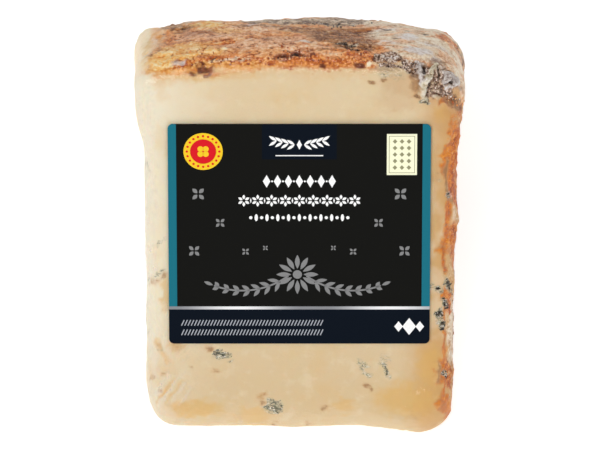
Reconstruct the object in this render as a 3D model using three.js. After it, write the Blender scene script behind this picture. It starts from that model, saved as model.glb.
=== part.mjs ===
// A one-pound wedge of mature blue cheese, with a printed label on its upper cut face.
//
// The whole cheese is a drum. This wedge is a thick slice of one end of it: the drum's side and its flat end
// are natural rind, and the other faces are cut. The wedge lies on one of its two long cut faces, its tip
// towards -Y and its curved rind towards +Y. Soft paste and tight wrapping round off every edge.
//
// Millimetres, +Z up. The shapes are worked out in the drum's frame, whose X axis is the drum's own axis and
// whose Z = 0 is the cut face below. The finished part has its origin at the middle of its box, on the floor.

import * as THREE from "three";
import { ImprovedNoise } from "three/addons/math/ImprovedNoise.js";
import { mergeVertices } from "three/addons/utils/BufferGeometryUtils.js";

const { clamp, degToRad, lerp, smoothstep } = THREE.MathUtils;

// The drum and the cuts that make the wedge.
const DRUM_RADIUS = 103.5;
const WEDGE_ANGLE = degToRad(48);
const CUT_PAST_AXIS = 10; // the upper cut misses the drum's axis by this much
const HALF_WIDTH = 39.2; // from the wedge's middle to each end, along the drum's axis
const END_FLARE = 2.8; // each end leans out by this towards the rind
const FLARE_START = 72; // distances from the drum's axis where the flare begins and ends
const FLARE_END = 90;
const RIND_END_BULGE = 1.3; // the rind end swells by this, this far from the drum's axis
const BULGE_MIDDLE = 60;
const BULGE_SPREAD = 14;

// Rounding of the edges.
const TIP_ROUNDING = 14.8;
const CUT_EDGE_ROUNDING = 6; // where a cut face meets the side rind
const END_ROUNDING = 5; // where a cut face meets either end
const TIP_CORNER_ROUNDING = 6.5; // the same, close to the tip
const RIM_ROUNDING = 7; // the drum's own rim, between side rind and end rind
const CUT_CORNER_ROUNDING = 4; // where the side rind meets the cut end
const TIP_ZONE = 36; // how far from the drum's axis the softer tip corners reach
const RIM_ZONE = 12; // how far inside the rim its rounding takes over
const RIM_CROWN = 4.2; // the side rind falls away by this towards the rim
const RIM_CROWN_RUN = 30;
const CROWN_LIMIT = 1.1; // past the end faces the fall goes on to this share of its run
const CUT_DROOP = 3; // and by this towards the cut end
const CUT_DROOP_RUN = 22;

// Surface relief.
const RIND_DEPTH = 5; // how far in from the drum's side the surface counts as rind
const CUT_SWELL = 0.45;
const RIND_SWELL = 1.1;
const WRINKLE_HEIGHT = 1.3; // of the long creases that run along the side rind
const DIMPLE_DEPTH = 1.2; // of the hollows in the end rind
const CRUST_HEIGHT = 0.6;
const TIP_WAVE_HEIGHT = 0.3; // the tip's edge runs in shallow waves of this length
const TIP_WAVE_LENGTH = 25.5;
const TIP_SAG = 0.9; // and hangs out by this near its corner at the rind end
const TIP_SAG_MIDDLE = 26;
const TIP_SAG_SPREAD = 9;

// How squarely a surface faces each way, as a cosine, where that kind of relief begins and where it is full.
const FACING = {
  upperCut: [0.7, 0.95],
  lumps: [0.5, 0.85],
  tip: [0.75, 1],
  floor: [0.2, 0.8],
};
const RELIEF_RISE = 3; // relief builds up over this height above the floor

// The noise fields behind the relief: how far each one's waves reach, and where it starts.
const SWELL_FIELD = { reach: [27, 27, 27], start: [6.66, 4.1, 3.87] };
const WRINKLE_FIELD = { reach: [19, 6.5, 1], start: [5.3, 2.9, 0.5] }; // along the drum's axis, then round it
const DIMPLE_FIELD = { reach: [13, 9, 1], start: [2.2, 7.4, 0.5] };
const CRUST_FIELD = { reach: [5.2, 5.2, 5.2], start: [9.4, 6.1, 4.2] };

// The label, a thin plate lying on the upper cut face.
const LABEL_WIDTH = 66.2;
const LABEL_LENGTH = 59.4;
const LABEL_THICKNESS = 0.3;
const LABEL_CORNER = 1.3;
const LABEL_BELOW_RIND = 18; // from the rind edge of the face to the label's upper edge
const LABEL_GAP = 0.3;
const LABEL_MARGIN = 5; // the face comes flat over this distance round the label

// Places on the upper cut face are (x, along), along being the distance from the drum's axis up the face.
const FACE_RIND_EDGE = Math.sqrt(DRUM_RADIUS ** 2 - CUT_PAST_AXIS ** 2);
const LABEL_MIDDLE = FACE_RIND_EDGE - LABEL_BELOW_RIND - LABEL_LENGTH / 2;

// Lumps of mould crust at the corner of the face, where side rind, end rind and cut meet.
const CRUST_LUMPS = [
  { x: 36.4, belowRind: 6.0, halfWidth: 2.8, halfLength: 2.8, height: 2.0 },
  { x: 31.5, belowRind: 8.0, halfWidth: 1.8, halfLength: 4.2, height: 1.5 },
  { x: 34.6, belowRind: 10.0, halfWidth: 1.6, halfLength: 3.0, height: -1.8 },
  { x: 26.0, belowRind: 4.0, halfWidth: 4.0, halfLength: 1.9, height: 1.3 },
  { x: -23.5, belowRind: 2.5, halfWidth: 2.4, halfLength: 2.2, height: -1.4 },
];

// The lattice that the wedge's skin starts from: cells across, along and around it.
const CELLS = { across: 28, along: 32, around: 30 };
const EDGE_GATHER = 0.4; // how much the lattice lines crowd towards the edges
const LATTICE_START = 14; // the lattice begins this far from the sharp tip
const SETTLING_STEPS = 12;
const SLOPE_STEP = 0.01;

const noise = new ImprovedNoise();

// A smooth bump, 1 where the offset is 0 and next to nothing past 2.
function bump(offset) {
  return Math.exp(-(offset ** 2));
}

// The larger of two signed distances, with the edge between them rounded.
function roundedMax(a, b, rounding) {
  const inside = Math.min(-rounding, Math.max(a, b));
  return inside + Math.hypot(Math.max(a + rounding, 0), Math.max(b + rounding, 0));
}

// How far out the side rind lies from the drum's axis.
function rindRadius(x) {
  const nearRim = clamp((x - HALF_WIDTH + RIM_CROWN_RUN) / RIM_CROWN_RUN, 0, CROWN_LIMIT);
  const nearCut = clamp((CUT_DROOP_RUN - HALF_WIDTH - x) / CUT_DROOP_RUN, 0, CROWN_LIMIT);
  return DRUM_RADIUS - RIM_CROWN * nearRim ** 2 - CUT_DROOP * nearCut ** 2;
}

// The signed distance to the smooth wedge: negative inside it.
function wedgeDistance({ x, y, z }) {
  const fromAxis = Math.hypot(y, z);
  const lowerCut = -z;
  const upperCut = z * Math.cos(WEDGE_ANGLE) - y * Math.sin(WEDGE_ANGLE) - CUT_PAST_AXIS;
  const rind = fromAxis - rindRadius(x);
  const flare = END_FLARE * smoothstep(fromAxis, FLARE_START, FLARE_END);
  const bulge = RIND_END_BULGE * bump((fromAxis - BULGE_MIDDLE) / BULGE_SPREAD);
  const cutEnd = -x - HALF_WIDTH - flare;
  const rindEnd = x - HALF_WIDTH - flare - bulge;
  const tipness = 1 - smoothstep(fromAxis, 0, TIP_ZONE);
  const rimness = smoothstep(fromAxis, DRUM_RADIUS - 2 * RIM_ZONE, DRUM_RADIUS - RIM_ZONE);
  const endRounding = lerp(END_ROUNDING, TIP_CORNER_ROUNDING, tipness);
  const slice = roundedMax(upperCut, lowerCut, TIP_ROUNDING);
  const section = roundedMax(slice, rind, CUT_EDGE_ROUNDING);
  const cutSide = roundedMax(section, cutEnd, lerp(endRounding, CUT_CORNER_ROUNDING, rimness));
  return roundedMax(cutSide, rindEnd, lerp(endRounding, RIM_ROUNDING, rimness));
}

// The outward direction of the smooth wedge's surface near a point.
function outward(point) {
  const slope = ["x", "y", "z"].map((axis) => {
    const ahead = point.clone();
    const behind = point.clone();
    ahead[axis] += SLOPE_STEP;
    behind[axis] -= SLOPE_STEP;
    return (wedgeDistance(ahead) - wedgeDistance(behind)) / (2 * SLOPE_STEP);
  });
  return new THREE.Vector3(...slope);
}

// Moves a point onto the smooth wedge's surface.
function settle(point) {
  for (let step = 0; step < SETTLING_STEPS; step++) {
    const slope = outward(point);
    point.addScaledVector(slope, -wedgeDistance(point) / slope.lengthSq());
  }
  return point;
}

// The value of a noise field at a place.
function fieldAt({ reach, start }, place) {
  return noise.noise(...place.map((value, i) => value / reach[i] + start[i]));
}

// 0 on the label's seat, rising to 1 outside its margin.
function awayFromLabel(x, along) {
  const past = Math.max(Math.abs(x) - LABEL_WIDTH / 2, Math.abs(along - LABEL_MIDDLE) - LABEL_LENGTH / 2);
  return smoothstep(past, 1, LABEL_MARGIN);
}

// The height of the crust lumps at a place on the upper cut face.
function crustLumps(x, along) {
  const below = FACE_RIND_EDGE - along;
  return CRUST_LUMPS.reduce((sum, lump) => {
    const across = (x - lump.x) / lump.halfWidth;
    const down = (below - lump.belowRind) / lump.halfLength;
    return sum + lump.height * bump(Math.hypot(across, down));
  }, 0);
}

// How far the tip's edge stands out along its length.
function tipWave(x) {
  const wave = TIP_WAVE_HEIGHT * Math.cos((2 * Math.PI * x) / TIP_WAVE_LENGTH);
  return wave + TIP_SAG * bump((x - TIP_SAG_MIDDLE) / TIP_SAG_SPREAD);
}

// How far the real surface stands out from the smooth one. The face below stays flat.
function relief(point, direction) {
  const { x, y, z } = point;
  const along = y * Math.cos(WEDGE_ANGLE) + z * Math.sin(WEDGE_ANGLE);
  const facesUp = direction.z * Math.cos(WEDGE_ANGLE) - direction.y * Math.sin(WEDGE_ANGLE);
  const onUpperCut = smoothstep(facesUp, ...FACING.upperCut);
  const offFloor = (1 - smoothstep(-direction.z, ...FACING.floor)) * smoothstep(z, 0, RELIEF_RISE);
  const radius = Math.hypot(y, z);
  const nearSide = smoothstep(radius, DRUM_RADIUS - 2 * RIND_DEPTH, DRUM_RADIUS - RIND_DEPTH);
  const onSide = nearSide * (1 - onUpperCut);
  const onEnd = smoothstep(x, HALF_WIDTH - RIND_DEPTH, HALF_WIDTH) * (1 - onUpperCut);
  const onRind = Math.max(onSide, onEnd);
  const arc = Math.atan2(z, y) * DRUM_RADIUS;
  const swell = fieldAt(SWELL_FIELD, [x, y, z]);
  const wrinkle = onSide * fieldAt(WRINKLE_FIELD, [x, arc, 0]);
  const dimple = onEnd * fieldAt(DIMPLE_FIELD, [y, z, 0]);
  const crust = fieldAt(CRUST_FIELD, [x, y, z]);
  const height =
    swell * lerp(CUT_SWELL, RIND_SWELL, onRind) -
    WRINKLE_HEIGHT * Math.abs(wrinkle) -
    DIMPLE_DEPTH * Math.abs(dimple) +
    CRUST_HEIGHT * crust * onRind +
    tipWave(x) * smoothstep(-direction.y, ...FACING.tip) * (1 - onSide) +
    crustLumps(x, along) * smoothstep(facesUp, ...FACING.lumps);
  return height * offFloor * lerp(1, awayFromLabel(x, along), onUpperCut);
}

// Spreads 0 to 1 so that its ends are more finely divided than its middle.
function gather(share) {
  return share - (EDGE_GATHER * Math.sin(2 * Math.PI * share)) / (2 * Math.PI);
}

// A lattice corner, each share from 0 to 1, placed on or in the sharp-edged wedge.
function latticePoint(across, along, around) {
  const tipY = -CUT_PAST_AXIS / Math.sin(WEDGE_ANGLE);
  const angle = WEDGE_ANGLE * lerp(around, gather(around), along);
  const tipAhead = tipY * Math.cos(angle);
  const reach = Math.sqrt(tipAhead ** 2 - tipY ** 2 + DRUM_RADIUS ** 2) - tipAhead;
  const run = lerp(LATTICE_START, reach, gather(along));
  const x = lerp(-HALF_WIDTH, HALF_WIDTH, gather(across));
  return new THREE.Vector3(x, tipY + run * Math.cos(angle), run * Math.sin(angle));
}

// The cheese: the lattice settled onto the smooth wedge and then given its relief.
function cheeseGeometry() {
  const lattice = new THREE.BoxGeometry(1, 1, 1, CELLS.across, CELLS.along, CELLS.around);
  lattice.deleteAttribute("normal");
  lattice.deleteAttribute("uv");
  const skin = mergeVertices(lattice);
  const corners = skin.getAttribute("position");
  for (let i = 0; i < corners.count; i++) {
    const shares = [corners.getX(i) + 0.5, corners.getY(i) + 0.5, corners.getZ(i) + 0.5];
    const point = settle(latticePoint(...shares));
    const direction = outward(point).normalize();
    point.addScaledVector(direction, relief(point, direction));
    corners.setXYZ(i, point.x, point.y, point.z);
  }
  skin.computeVertexNormals();
  return skin;
}

// The label's outline, a rectangle with round corners about its own middle.
function labelOutline() {
  const right = LABEL_WIDTH / 2 - LABEL_CORNER;
  const top = LABEL_LENGTH / 2 - LABEL_CORNER;
  const outline = new THREE.Shape();
  outline.absarc(right, top, LABEL_CORNER, 0, Math.PI / 2);
  outline.absarc(-right, top, LABEL_CORNER, Math.PI / 2, Math.PI);
  outline.absarc(-right, -top, LABEL_CORNER, Math.PI, 1.5 * Math.PI);
  outline.absarc(right, -top, LABEL_CORNER, 1.5 * Math.PI, 2 * Math.PI);
  return outline;
}

function makeCheese() {
  const paste = new THREE.MeshStandardMaterial({ color: 0xdfc79f, roughness: 0.45, metalness: 0 });
  const cheese = new THREE.Mesh(cheeseGeometry(), paste);
  cheese.name = "cheese_wedge";
  return cheese;
}

function makeLabel() {
  const print = new THREE.MeshStandardMaterial({ color: 0x1a1a18, roughness: 0.4, metalness: 0 });
  const plate = { depth: LABEL_THICKNESS, bevelEnabled: false, curveSegments: 6 };
  const label = new THREE.Mesh(new THREE.ExtrudeGeometry(labelOutline(), plate), print);
  label.name = "label";
  label.position.set(0, LABEL_MIDDLE, CUT_PAST_AXIS + LABEL_GAP);
  const upperCut = new THREE.Group();
  upperCut.rotation.x = WEDGE_ANGLE;
  upperCut.add(label);
  return upperCut;
}

const part = new THREE.Group();
part.add(makeCheese(), makeLabel());
const box = new THREE.Box3().setFromObject(part);
const middle = box.getCenter(new THREE.Vector3());
part.position.set(-middle.x, -middle.y, -box.min.z);

export default part;
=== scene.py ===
"""A film-packed wedge of mature blue cheese with a printed label on its upper cut face.

Lengths are in millimetres while a piece is shaped, and each finished mesh is scaled to the
frame's metres. The wedge lies on its lower cut face. Its places are told in the terms of the
drum that it was cut from: along the drum's axis (x), below the edge where the upper cut meets
the curved rind, and in depth under the upper cut.
"""

from __future__ import annotations

import logging
from dataclasses import dataclass
from enum import Enum
from math import cos, radians, sin, sqrt
from typing import Callable, ClassVar, Sequence

import bmesh
import bpy
import numpy as np
from bmesh.types import BMesh, BMVert
from bpy.types import Material, Mesh, Node, Object, World
from bpy.types import NodeSocket as Socket
from mathutils import Matrix, Vector, noise

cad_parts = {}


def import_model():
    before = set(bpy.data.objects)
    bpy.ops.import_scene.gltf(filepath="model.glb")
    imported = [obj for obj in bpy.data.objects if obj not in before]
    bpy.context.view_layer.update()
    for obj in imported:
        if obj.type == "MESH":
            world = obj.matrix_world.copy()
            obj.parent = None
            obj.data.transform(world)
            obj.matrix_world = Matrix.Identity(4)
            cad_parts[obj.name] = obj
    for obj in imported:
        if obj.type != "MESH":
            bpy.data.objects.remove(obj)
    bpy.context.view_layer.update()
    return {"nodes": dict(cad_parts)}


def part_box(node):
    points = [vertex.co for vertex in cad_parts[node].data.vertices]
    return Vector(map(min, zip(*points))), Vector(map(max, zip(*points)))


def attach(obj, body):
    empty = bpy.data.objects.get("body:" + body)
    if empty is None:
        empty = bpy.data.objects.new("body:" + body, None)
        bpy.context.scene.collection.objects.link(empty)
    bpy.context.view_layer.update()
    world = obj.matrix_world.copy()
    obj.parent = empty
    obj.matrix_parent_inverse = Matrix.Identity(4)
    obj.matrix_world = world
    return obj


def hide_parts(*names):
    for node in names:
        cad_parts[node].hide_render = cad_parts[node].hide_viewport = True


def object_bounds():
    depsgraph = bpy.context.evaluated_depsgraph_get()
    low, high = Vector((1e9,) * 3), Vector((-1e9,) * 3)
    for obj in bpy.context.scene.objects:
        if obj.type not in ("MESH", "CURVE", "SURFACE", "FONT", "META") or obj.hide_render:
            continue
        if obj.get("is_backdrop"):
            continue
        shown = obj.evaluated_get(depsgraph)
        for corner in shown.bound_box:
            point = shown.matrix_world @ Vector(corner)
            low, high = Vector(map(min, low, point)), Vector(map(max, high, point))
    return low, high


LOG = logging.getLogger("cheese_wedge")
MM = 0.001

Array = np.ndarray
Tones = Sequence[tuple[int, int, int]]  # five screen colours, darkest first
TONE_STOPS = (0.1, 0.34, 0.5, 0.66, 0.92)  # the tone at which each of the five is pure
CRUMB_STOPS = (0.08, 0.3, 0.5, 0.7, 0.92)


# ----- Shader graphs -----


def srgb(*screen: float) -> tuple[float, float, float, float]:
    """Turn a screen's red, green and blue of 0 to 255 into a linear colour with full alpha."""
    shares = [channel / 255 for channel in screen]
    return (*(c / 12.92 if c <= 0.04045 else ((c + 0.055) / 1.055) ** 2.4 for c in shares), 1.0)


class Signal:
    """A number that flows between shader nodes; operators on it add Math nodes."""

    def __init__(self, graph: Graph, socket: Socket) -> None:
        """Keep the graph and the socket that gives the number."""
        self.graph = graph
        self.socket = socket

    def _math(self, operation: str, *values: Signal | float) -> Signal:
        """Add one Math node on these values."""
        inputs = dict(enumerate(values))
        return self.graph.signal("ShaderNodeMath", {"operation": operation}, inputs)

    def __add__(self, other: Signal | float) -> Signal:
        """Add."""
        return self._math("ADD", self, other)

    __radd__ = __add__

    def __sub__(self, other: Signal | float) -> Signal:
        """Subtract."""
        return self._math("SUBTRACT", self, other)

    def __rsub__(self, other: Signal | float) -> Signal:
        """Subtract this from a number, so that 1 - mask works."""
        return self._math("SUBTRACT", other, self)

    def __mul__(self, other: Signal | float) -> Signal:
        """Multiply."""
        return self._math("MULTIPLY", self, other)

    __rmul__ = __mul__

    def __pow__(self, other: Signal | float) -> Signal:
        """Raise to a power."""
        return self._math("POWER", self, other)

    def __gt__(self, other: Signal | float) -> Signal:
        """Give 1 where this is greater, else 0."""
        return self._math("GREATER_THAN", self, other)

    def __lt__(self, other: Signal | float) -> Signal:
        """Give 1 where this is less, else 0."""
        return self._math("LESS_THAN", self, other)

    def __abs__(self) -> Signal:
        """Drop the sign."""
        return self._math("ABSOLUTE", self)

    def larger(self, other: Signal | float) -> Signal:
        """Give the larger of the two."""
        return self._math("MAXIMUM", self, other)

    def smaller(self, other: Signal | float) -> Signal:
        """Give the smaller of the two."""
        return self._math("MINIMUM", self, other)

    def rise(self, low: float, high: float) -> Signal:
        """Rise smoothly from 0 at `low` to 1 at `high`; a high below the low makes it fall.

        Args:
            low: Where the rise starts.
            high: Where it ends.

        Returns:
            The share of the rise, held between 0 and 1.
        """
        ends = {"Value": self, "From Min": low, "From Max": high}
        if high < low:
            ends |= {"From Min": high, "From Max": low, "To Min": 1.0, "To Max": 0.0}
        settings = {"interpolation_type": "SMOOTHSTEP"}
        return self.graph.signal("ShaderNodeMapRange", settings, ends, "Result")


class Graph:
    """The node tree of one material or world."""

    MIX_FACTOR, MIX_UNDER, MIX_OVER, MIX_RESULT = 0, 6, 7, 2

    def __init__(self, owner: Material | World) -> None:
        """Start an empty tree on its owner.

        Args:
            owner: The material or world.
        """
        owner.use_nodes = True
        self.owner = owner
        self.tree = owner.node_tree
        self.tree.nodes.clear()

    def node(self, kind: str, settings: dict | None = None, inputs: dict | None = None) -> Node:
        """Add one node.

        Args:
            kind: The node's type.
            settings: Its settings, a ramp's stops among them, which are set first.
            inputs: Values or links by socket name or number.

        Returns:
            The node.
        """
        made = self.tree.nodes.new(kind)
        for name, setting in (settings or {}).items():
            if name == "stops":
                self._set_stops(made.color_ramp.elements, setting)
            else:
                setattr(made, name, setting)
        for key, value in (inputs or {}).items():
            source = value.socket if isinstance(value, Signal) else value
            if isinstance(source, Socket):
                self.tree.links.new(source, made.inputs[key])
            else:
                made.inputs[key].default_value = source
        return made

    @staticmethod
    def _set_stops(elements: bpy.types.ColorRampElements, stops: Sequence[tuple]) -> None:
        """Give a ramp its stops.

        Args:
            elements: The ramp's own stops.
            stops: A position and a colour for each.
        """
        while len(elements) < len(stops):
            elements.new(1.0)
        for element, (position, colour) in zip(elements, stops):
            element.position = position
            element.color = colour

    def out(
        self, kind: str, settings: dict | None, inputs: dict | None, output: str | int = 0
    ) -> Socket:
        """Add one node and give one of its outputs, by name or number."""
        return self.node(kind, settings, inputs).outputs[output]

    def signal(
        self, kind: str, settings: dict | None, inputs: dict | None, output: str | int = 0
    ) -> Signal:
        """Add one node and give the number at one of its outputs."""
        return Signal(self, self.out(kind, settings, inputs, output))

    def attribute(self, name: str) -> Signal:
        """Read a number that the piece's mesh carries at its vertices."""
        return self.signal("ShaderNodeAttribute", {"attribute_name": name}, None, "Fac")

    def place(self) -> Socket:
        """Give the place on the piece in millimetres."""
        inputs = {0: self.out("ShaderNodeTexCoord", None, None, "Object"), "Scale": 1 / MM}
        return self.out("ShaderNodeVectorMath", {"operation": "SCALE"}, inputs)

    def stretched(
        self, place: Socket, shares: Sequence[float], turn: Sequence[float] = (0, 0, 0)
    ) -> Socket:
        """Turn a place by radians and make a pattern on it finer along each axis."""
        inputs = {"Vector": place, "Rotation": turn, "Scale": shares}
        return self.out("ShaderNodeMapping", {"vector_type": "POINT"}, inputs)

    def mottle(
        self, place: Socket, size: float, detail: float = 3, rough: float = 0.55, bent: float = 0
    ) -> Signal:
        """Add a cloudy noise of 0 to 1 with lumps of `size` and `detail` finer layers on them."""
        inputs = {"Vector": place, "Scale": 1 / size, "Detail": detail, "Roughness": rough}
        return self.signal("ShaderNodeTexNoise", None, inputs | {"Distortion": bent})

    def blend(self, under: Socket | tuple, over: Socket | tuple, factor: Signal) -> Socket:
        """Lay one colour over another, by a factor from 0 to 1."""
        inputs = {self.MIX_FACTOR: factor, self.MIX_UNDER: under, self.MIX_OVER: over}
        return self.out("ShaderNodeMix", {"data_type": "RGBA"}, inputs, self.MIX_RESULT)

    def tones(self, tone: Signal, colours: Tones, places: Sequence[float] = TONE_STOPS) -> Socket:
        """Turn a tone of 0 to 1 into one of five colours and what lies between."""
        stops = [(at, srgb(*colour)) for at, colour in zip(places, colours)]
        return self.out("ShaderNodeValToRGB", {"stops": stops}, {"Fac": tone})

    def bump(self, height: Signal, depth: float) -> Socket:
        """Turn a height of 0 to 1, which is `depth` millimetres, into a shading normal."""
        inputs = {"Height": height, "Distance": depth * MM, "Strength": 1.0}
        return self.out("ShaderNodeBump", None, inputs)

    def coat(self, inputs: dict) -> Socket:
        """Add a surface shader with these values and links."""
        return self.out("ShaderNodeBsdfPrincipled", None, inputs)

    def surface(self, shader: Socket) -> Material:
        """Make a shader the surface and give the material."""
        self.node("ShaderNodeOutputMaterial", None, {"Surface": shader})
        return self.owner


# ----- The drum and the wedge's places -----


@dataclass(frozen=True)
class Drum:
    """The drum that the wedge was cut from, as the solid is built."""

    radius: float = 103.5
    cut_angle: float = radians(48)
    past_axis: float = 10.0  # the drum's axis lies this far under the upper cut
    end_at: float = 39.2
    end_flare: float = 2.8
    flare_from: float = 72.0
    flare_to: float = 90.0
    bulge: float = 1.3
    bulge_at: float = 60.0
    bulge_spread: float = 14.0
    crown: float = 4.2
    crown_run: float = 30.0
    droop: float = 3.0
    droop_run: float = 22.0

    def rind_radius(self, x: Array) -> Array:
        """Give the curved rind's radius.

        Args:
            x: Places along the axis.

        Returns:
            The radius at each place.
        """
        near_rim = np.clip((x - self.end_at + self.crown_run) / self.crown_run, 0, 1.1)
        near_cut = np.clip((self.droop_run - self.end_at - x) / self.droop_run, 0, 1.1)
        return self.radius - self.crown * near_rim**2 - self.droop * near_cut**2

    def rind_end(self, from_axis: Array) -> Array:
        """Give where the end rind stands along the axis.

        Args:
            from_axis: Distances from the axis.

        Returns:
            Its place along the axis at each distance.
        """
        flare = self.end_flare * eased(from_axis, self.flare_from, self.flare_to)
        off_bulge = (from_axis - self.bulge_at) / self.bulge_spread
        return self.end_at + flare + self.bulge * np.exp(-(off_bulge**2))

    def rind_edge(self) -> float:
        """Give how far from the axis the upper cut meets the rind."""
        return sqrt(self.radius**2 - self.past_axis**2)


@dataclass(frozen=True)
class LabelPlate:
    """The label's size and its place on the upper cut."""

    width: float = 66.2
    length: float = 59.4
    corner: float = 1.3
    thickness: float = 0.3
    gap: float = 0.3
    below_rind: float = 18.0

    def middle(self, drum: Drum) -> float:
        """Give how far up the cut from the drum's axis the label's middle lies."""
        return drum.rind_edge() - self.below_rind - self.length / 2


class Datum:
    """Ties the drum's own terms to the frame, by where the frame holds the label."""

    def __init__(self, drum: Drum, plate: LabelPlate) -> None:
        """Find the drum's axis from the label's box.

        Args:
            drum: The drum.
            plate: The label's size and place.
        """
        self.drum = drum
        self.plate = plate
        low, high = (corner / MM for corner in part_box("label"))
        centre = (low + high) / 2
        slope, rise = cos(drum.cut_angle), sin(drum.cut_angle)
        self.along = Vector((0, slope, rise))
        self.out = Vector((0, -rise, slope))
        up_cut = plate.middle(drum)
        off_cut = drum.past_axis + plate.gap + plate.thickness / 2
        self.axis = centre - self.along * up_cut - self.out * off_cut

    def label_matrix(self) -> Matrix:
        """Give the turn and shift from label terms (right, up, out) to the frame.

        Returns:
            The matrix, in millimetres.
        """
        drum, plate = self.drum, self.plate
        top = drum.past_axis + plate.gap + plate.thickness
        origin = self.axis + self.along * plate.middle(drum) + self.out * top
        turned = Matrix((Vector((1, 0, 0)), self.along, self.out)).transposed()
        return Matrix.Translation(origin) @ turned.to_4x4()


@dataclass
class Places:
    """Where points of the skin lie in the drum's terms, in millimetres."""

    at: Array  # the points in the frame
    x: Array  # along the axis, towards the end rind
    below: Array  # down the upper cut from the rind's edge
    depth: Array  # under the upper cut
    side: Array  # under the curved rind
    end: Array  # under the end rind

    @classmethod
    def of(cls, points: Array, datum: Datum) -> Places:
        """Work out the places of points.

        Args:
            points: The points in the frame, in millimetres.
            datum: The tie between drum and frame.

        Returns:
            Their places.
        """
        drum = datum.drum
        off = points - np.array(datum.axis)
        along = off @ np.array(datum.along)
        out = off @ np.array(datum.out)
        x = off[:, 0]
        from_axis = np.hypot(off[:, 1], off[:, 2])
        return cls(
            at=points,
            x=x,
            below=drum.rind_edge() - along,
            depth=drum.past_axis - out,
            side=drum.rind_radius(x) - from_axis,
            end=drum.rind_end(from_axis) - x,
        )

    @property
    def run(self) -> Array:
        """One measure down the cut face and, below zero, away over the curved rind."""
        return self.below - self.depth


def eased(value: Array, low: float, high: float) -> Array:
    """Rise smoothly from 0 at `low` to 1 at `high`, or fall where the high is below the low."""
    share = np.clip((value - low) / (high - low), 0, 1)
    return share * share * (3 - 2 * share)


FINER = (0.9, 2.1)  # how much weaker and how much finer each further layer of a cloud is
GRAIN_STEEPNESS = 1.6


def cloud(points: Array, size: float | Sequence[float], seed: float, octaves: int = 1) -> Array:
    """Give a smooth random height at each point.

    Args:
        points: The points, in millimetres.
        size: How wide its lumps are, once or along each axis.
        seed: Picks another pattern.
        octaves: How many ever finer layers it has.

    Returns:
        Heights of about -1 to 1.
    """
    shifted = points / np.asarray(size, float) + seed
    if octaves == 1:
        return np.array([noise.noise(Vector(point)) for point in shifted])
    return np.array([noise.fractal(Vector(point), *FINER, octaves) for point in shifted])


def cobbles(points: Array, size: float, seed: float) -> Array:
    """Give rounded grains of this size: 1 on a grain's top and 0 in the gaps."""
    cells = [noise.voronoi(Vector(point))[0] for point in points / size + seed]
    return np.array([min(1.0, GRAIN_STEEPNESS * (second - near)) for near, second, *_ in cells])


# ----- What is painted and pressed into the skin -----


MARKS_END = (16.0, 8.0)  # marks fade out between these depths under the upper cut


class Tint(Enum):
    """A colour that marks on the cheese have."""

    VEIN = "vein"
    BROWN = "brown"
    GOLD = "gold"
    TAN = "tan"
    RUST = "rust"
    UMBER = "umber"
    GREY = "grey"
    BLOOM = "bloom"
    CRAG = "crag"
    KHAKI = "khaki"
    LILAC = "lilac"
    PLUM = "plum"
    # painted shade in holes, cracks and gaps, and real dark mould
    DARK = "dark"
    # white mould, and painted highlights and reflections
    FROST = "frost"
    ROSE = "rose"


def near_cut(places: Places, run: float) -> Array:
    """Give 1 where points lie near the upper cut or the rind behind it, and 0 far under it."""
    return eased(places.depth - max(0.0, -run), *MARKS_END)


@dataclass(frozen=True)
class Patch:
    """An uneven oval on the skin, by its place along the axis and its run over the skin."""

    x: float
    run: float
    wide: float
    long: float
    much: float = 1.0
    turn: float = 0.0  # degrees, from the axis towards the run
    wobbles: ClassVar[float] = 1.8  # the widest that its edge is uneven
    fade: ClassVar[tuple[float, float]] = (1.35, 0.4)

    def cover(self, places: Places, wobble: Array) -> Array:
        """Give how much of the patch lies on each point.

        Args:
            places: The points' places.
            wobble: Shifts along and across that make its edge uneven.

        Returns:
            From 0 outside to the patch's full strength inside.
        """
        size = min(self.wide, self.long, self.wobbles)
        dx = places.x - self.x + wobble[:, 0] * size
        dr = places.run - self.run + wobble[:, 1] * size
        turn = radians(self.turn)
        across = (dx * cos(turn) + dr * sin(turn)) / self.wide
        down = (dr * cos(turn) - dx * sin(turn)) / self.long
        inside = eased(np.hypot(across, down), *self.fade)
        return self.much * inside * near_cut(places, self.run)


@dataclass(frozen=True)
class Stroke:
    """An uneven line on the skin through a few points, each a place along the axis and a run."""

    points: tuple[tuple[float, float], ...]
    wide: float
    much: float = 1.0

    def cover(self, places: Places, wobble: Array) -> Array:
        """Give how much of the stroke lies on each point.

        Args:
            places: The points' places.
            wobble: Shifts along and across that make its sides uneven.

        Returns:
            From 0 outside to the stroke's full strength along its middle.
        """
        at = np.stack([places.x, places.run], 1) + wobble * self.wide
        nearest = np.full(len(at), np.inf)
        for start, stop in zip(self.points, self.points[1:]):
            step = np.subtract(stop, start)
            off = at - np.array(start)
            share = np.clip(off @ step / (step @ step), 0, 1)
            nearest = np.minimum(nearest, np.hypot(*(off - share[:, None] * step).T))
        lowest = min(run for _, run in self.points)
        inside = eased(nearest, self.wide * 1.3, self.wide * 0.1)
        return self.much * inside * near_cut(places, lowest)


Mark = Patch | Stroke


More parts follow.
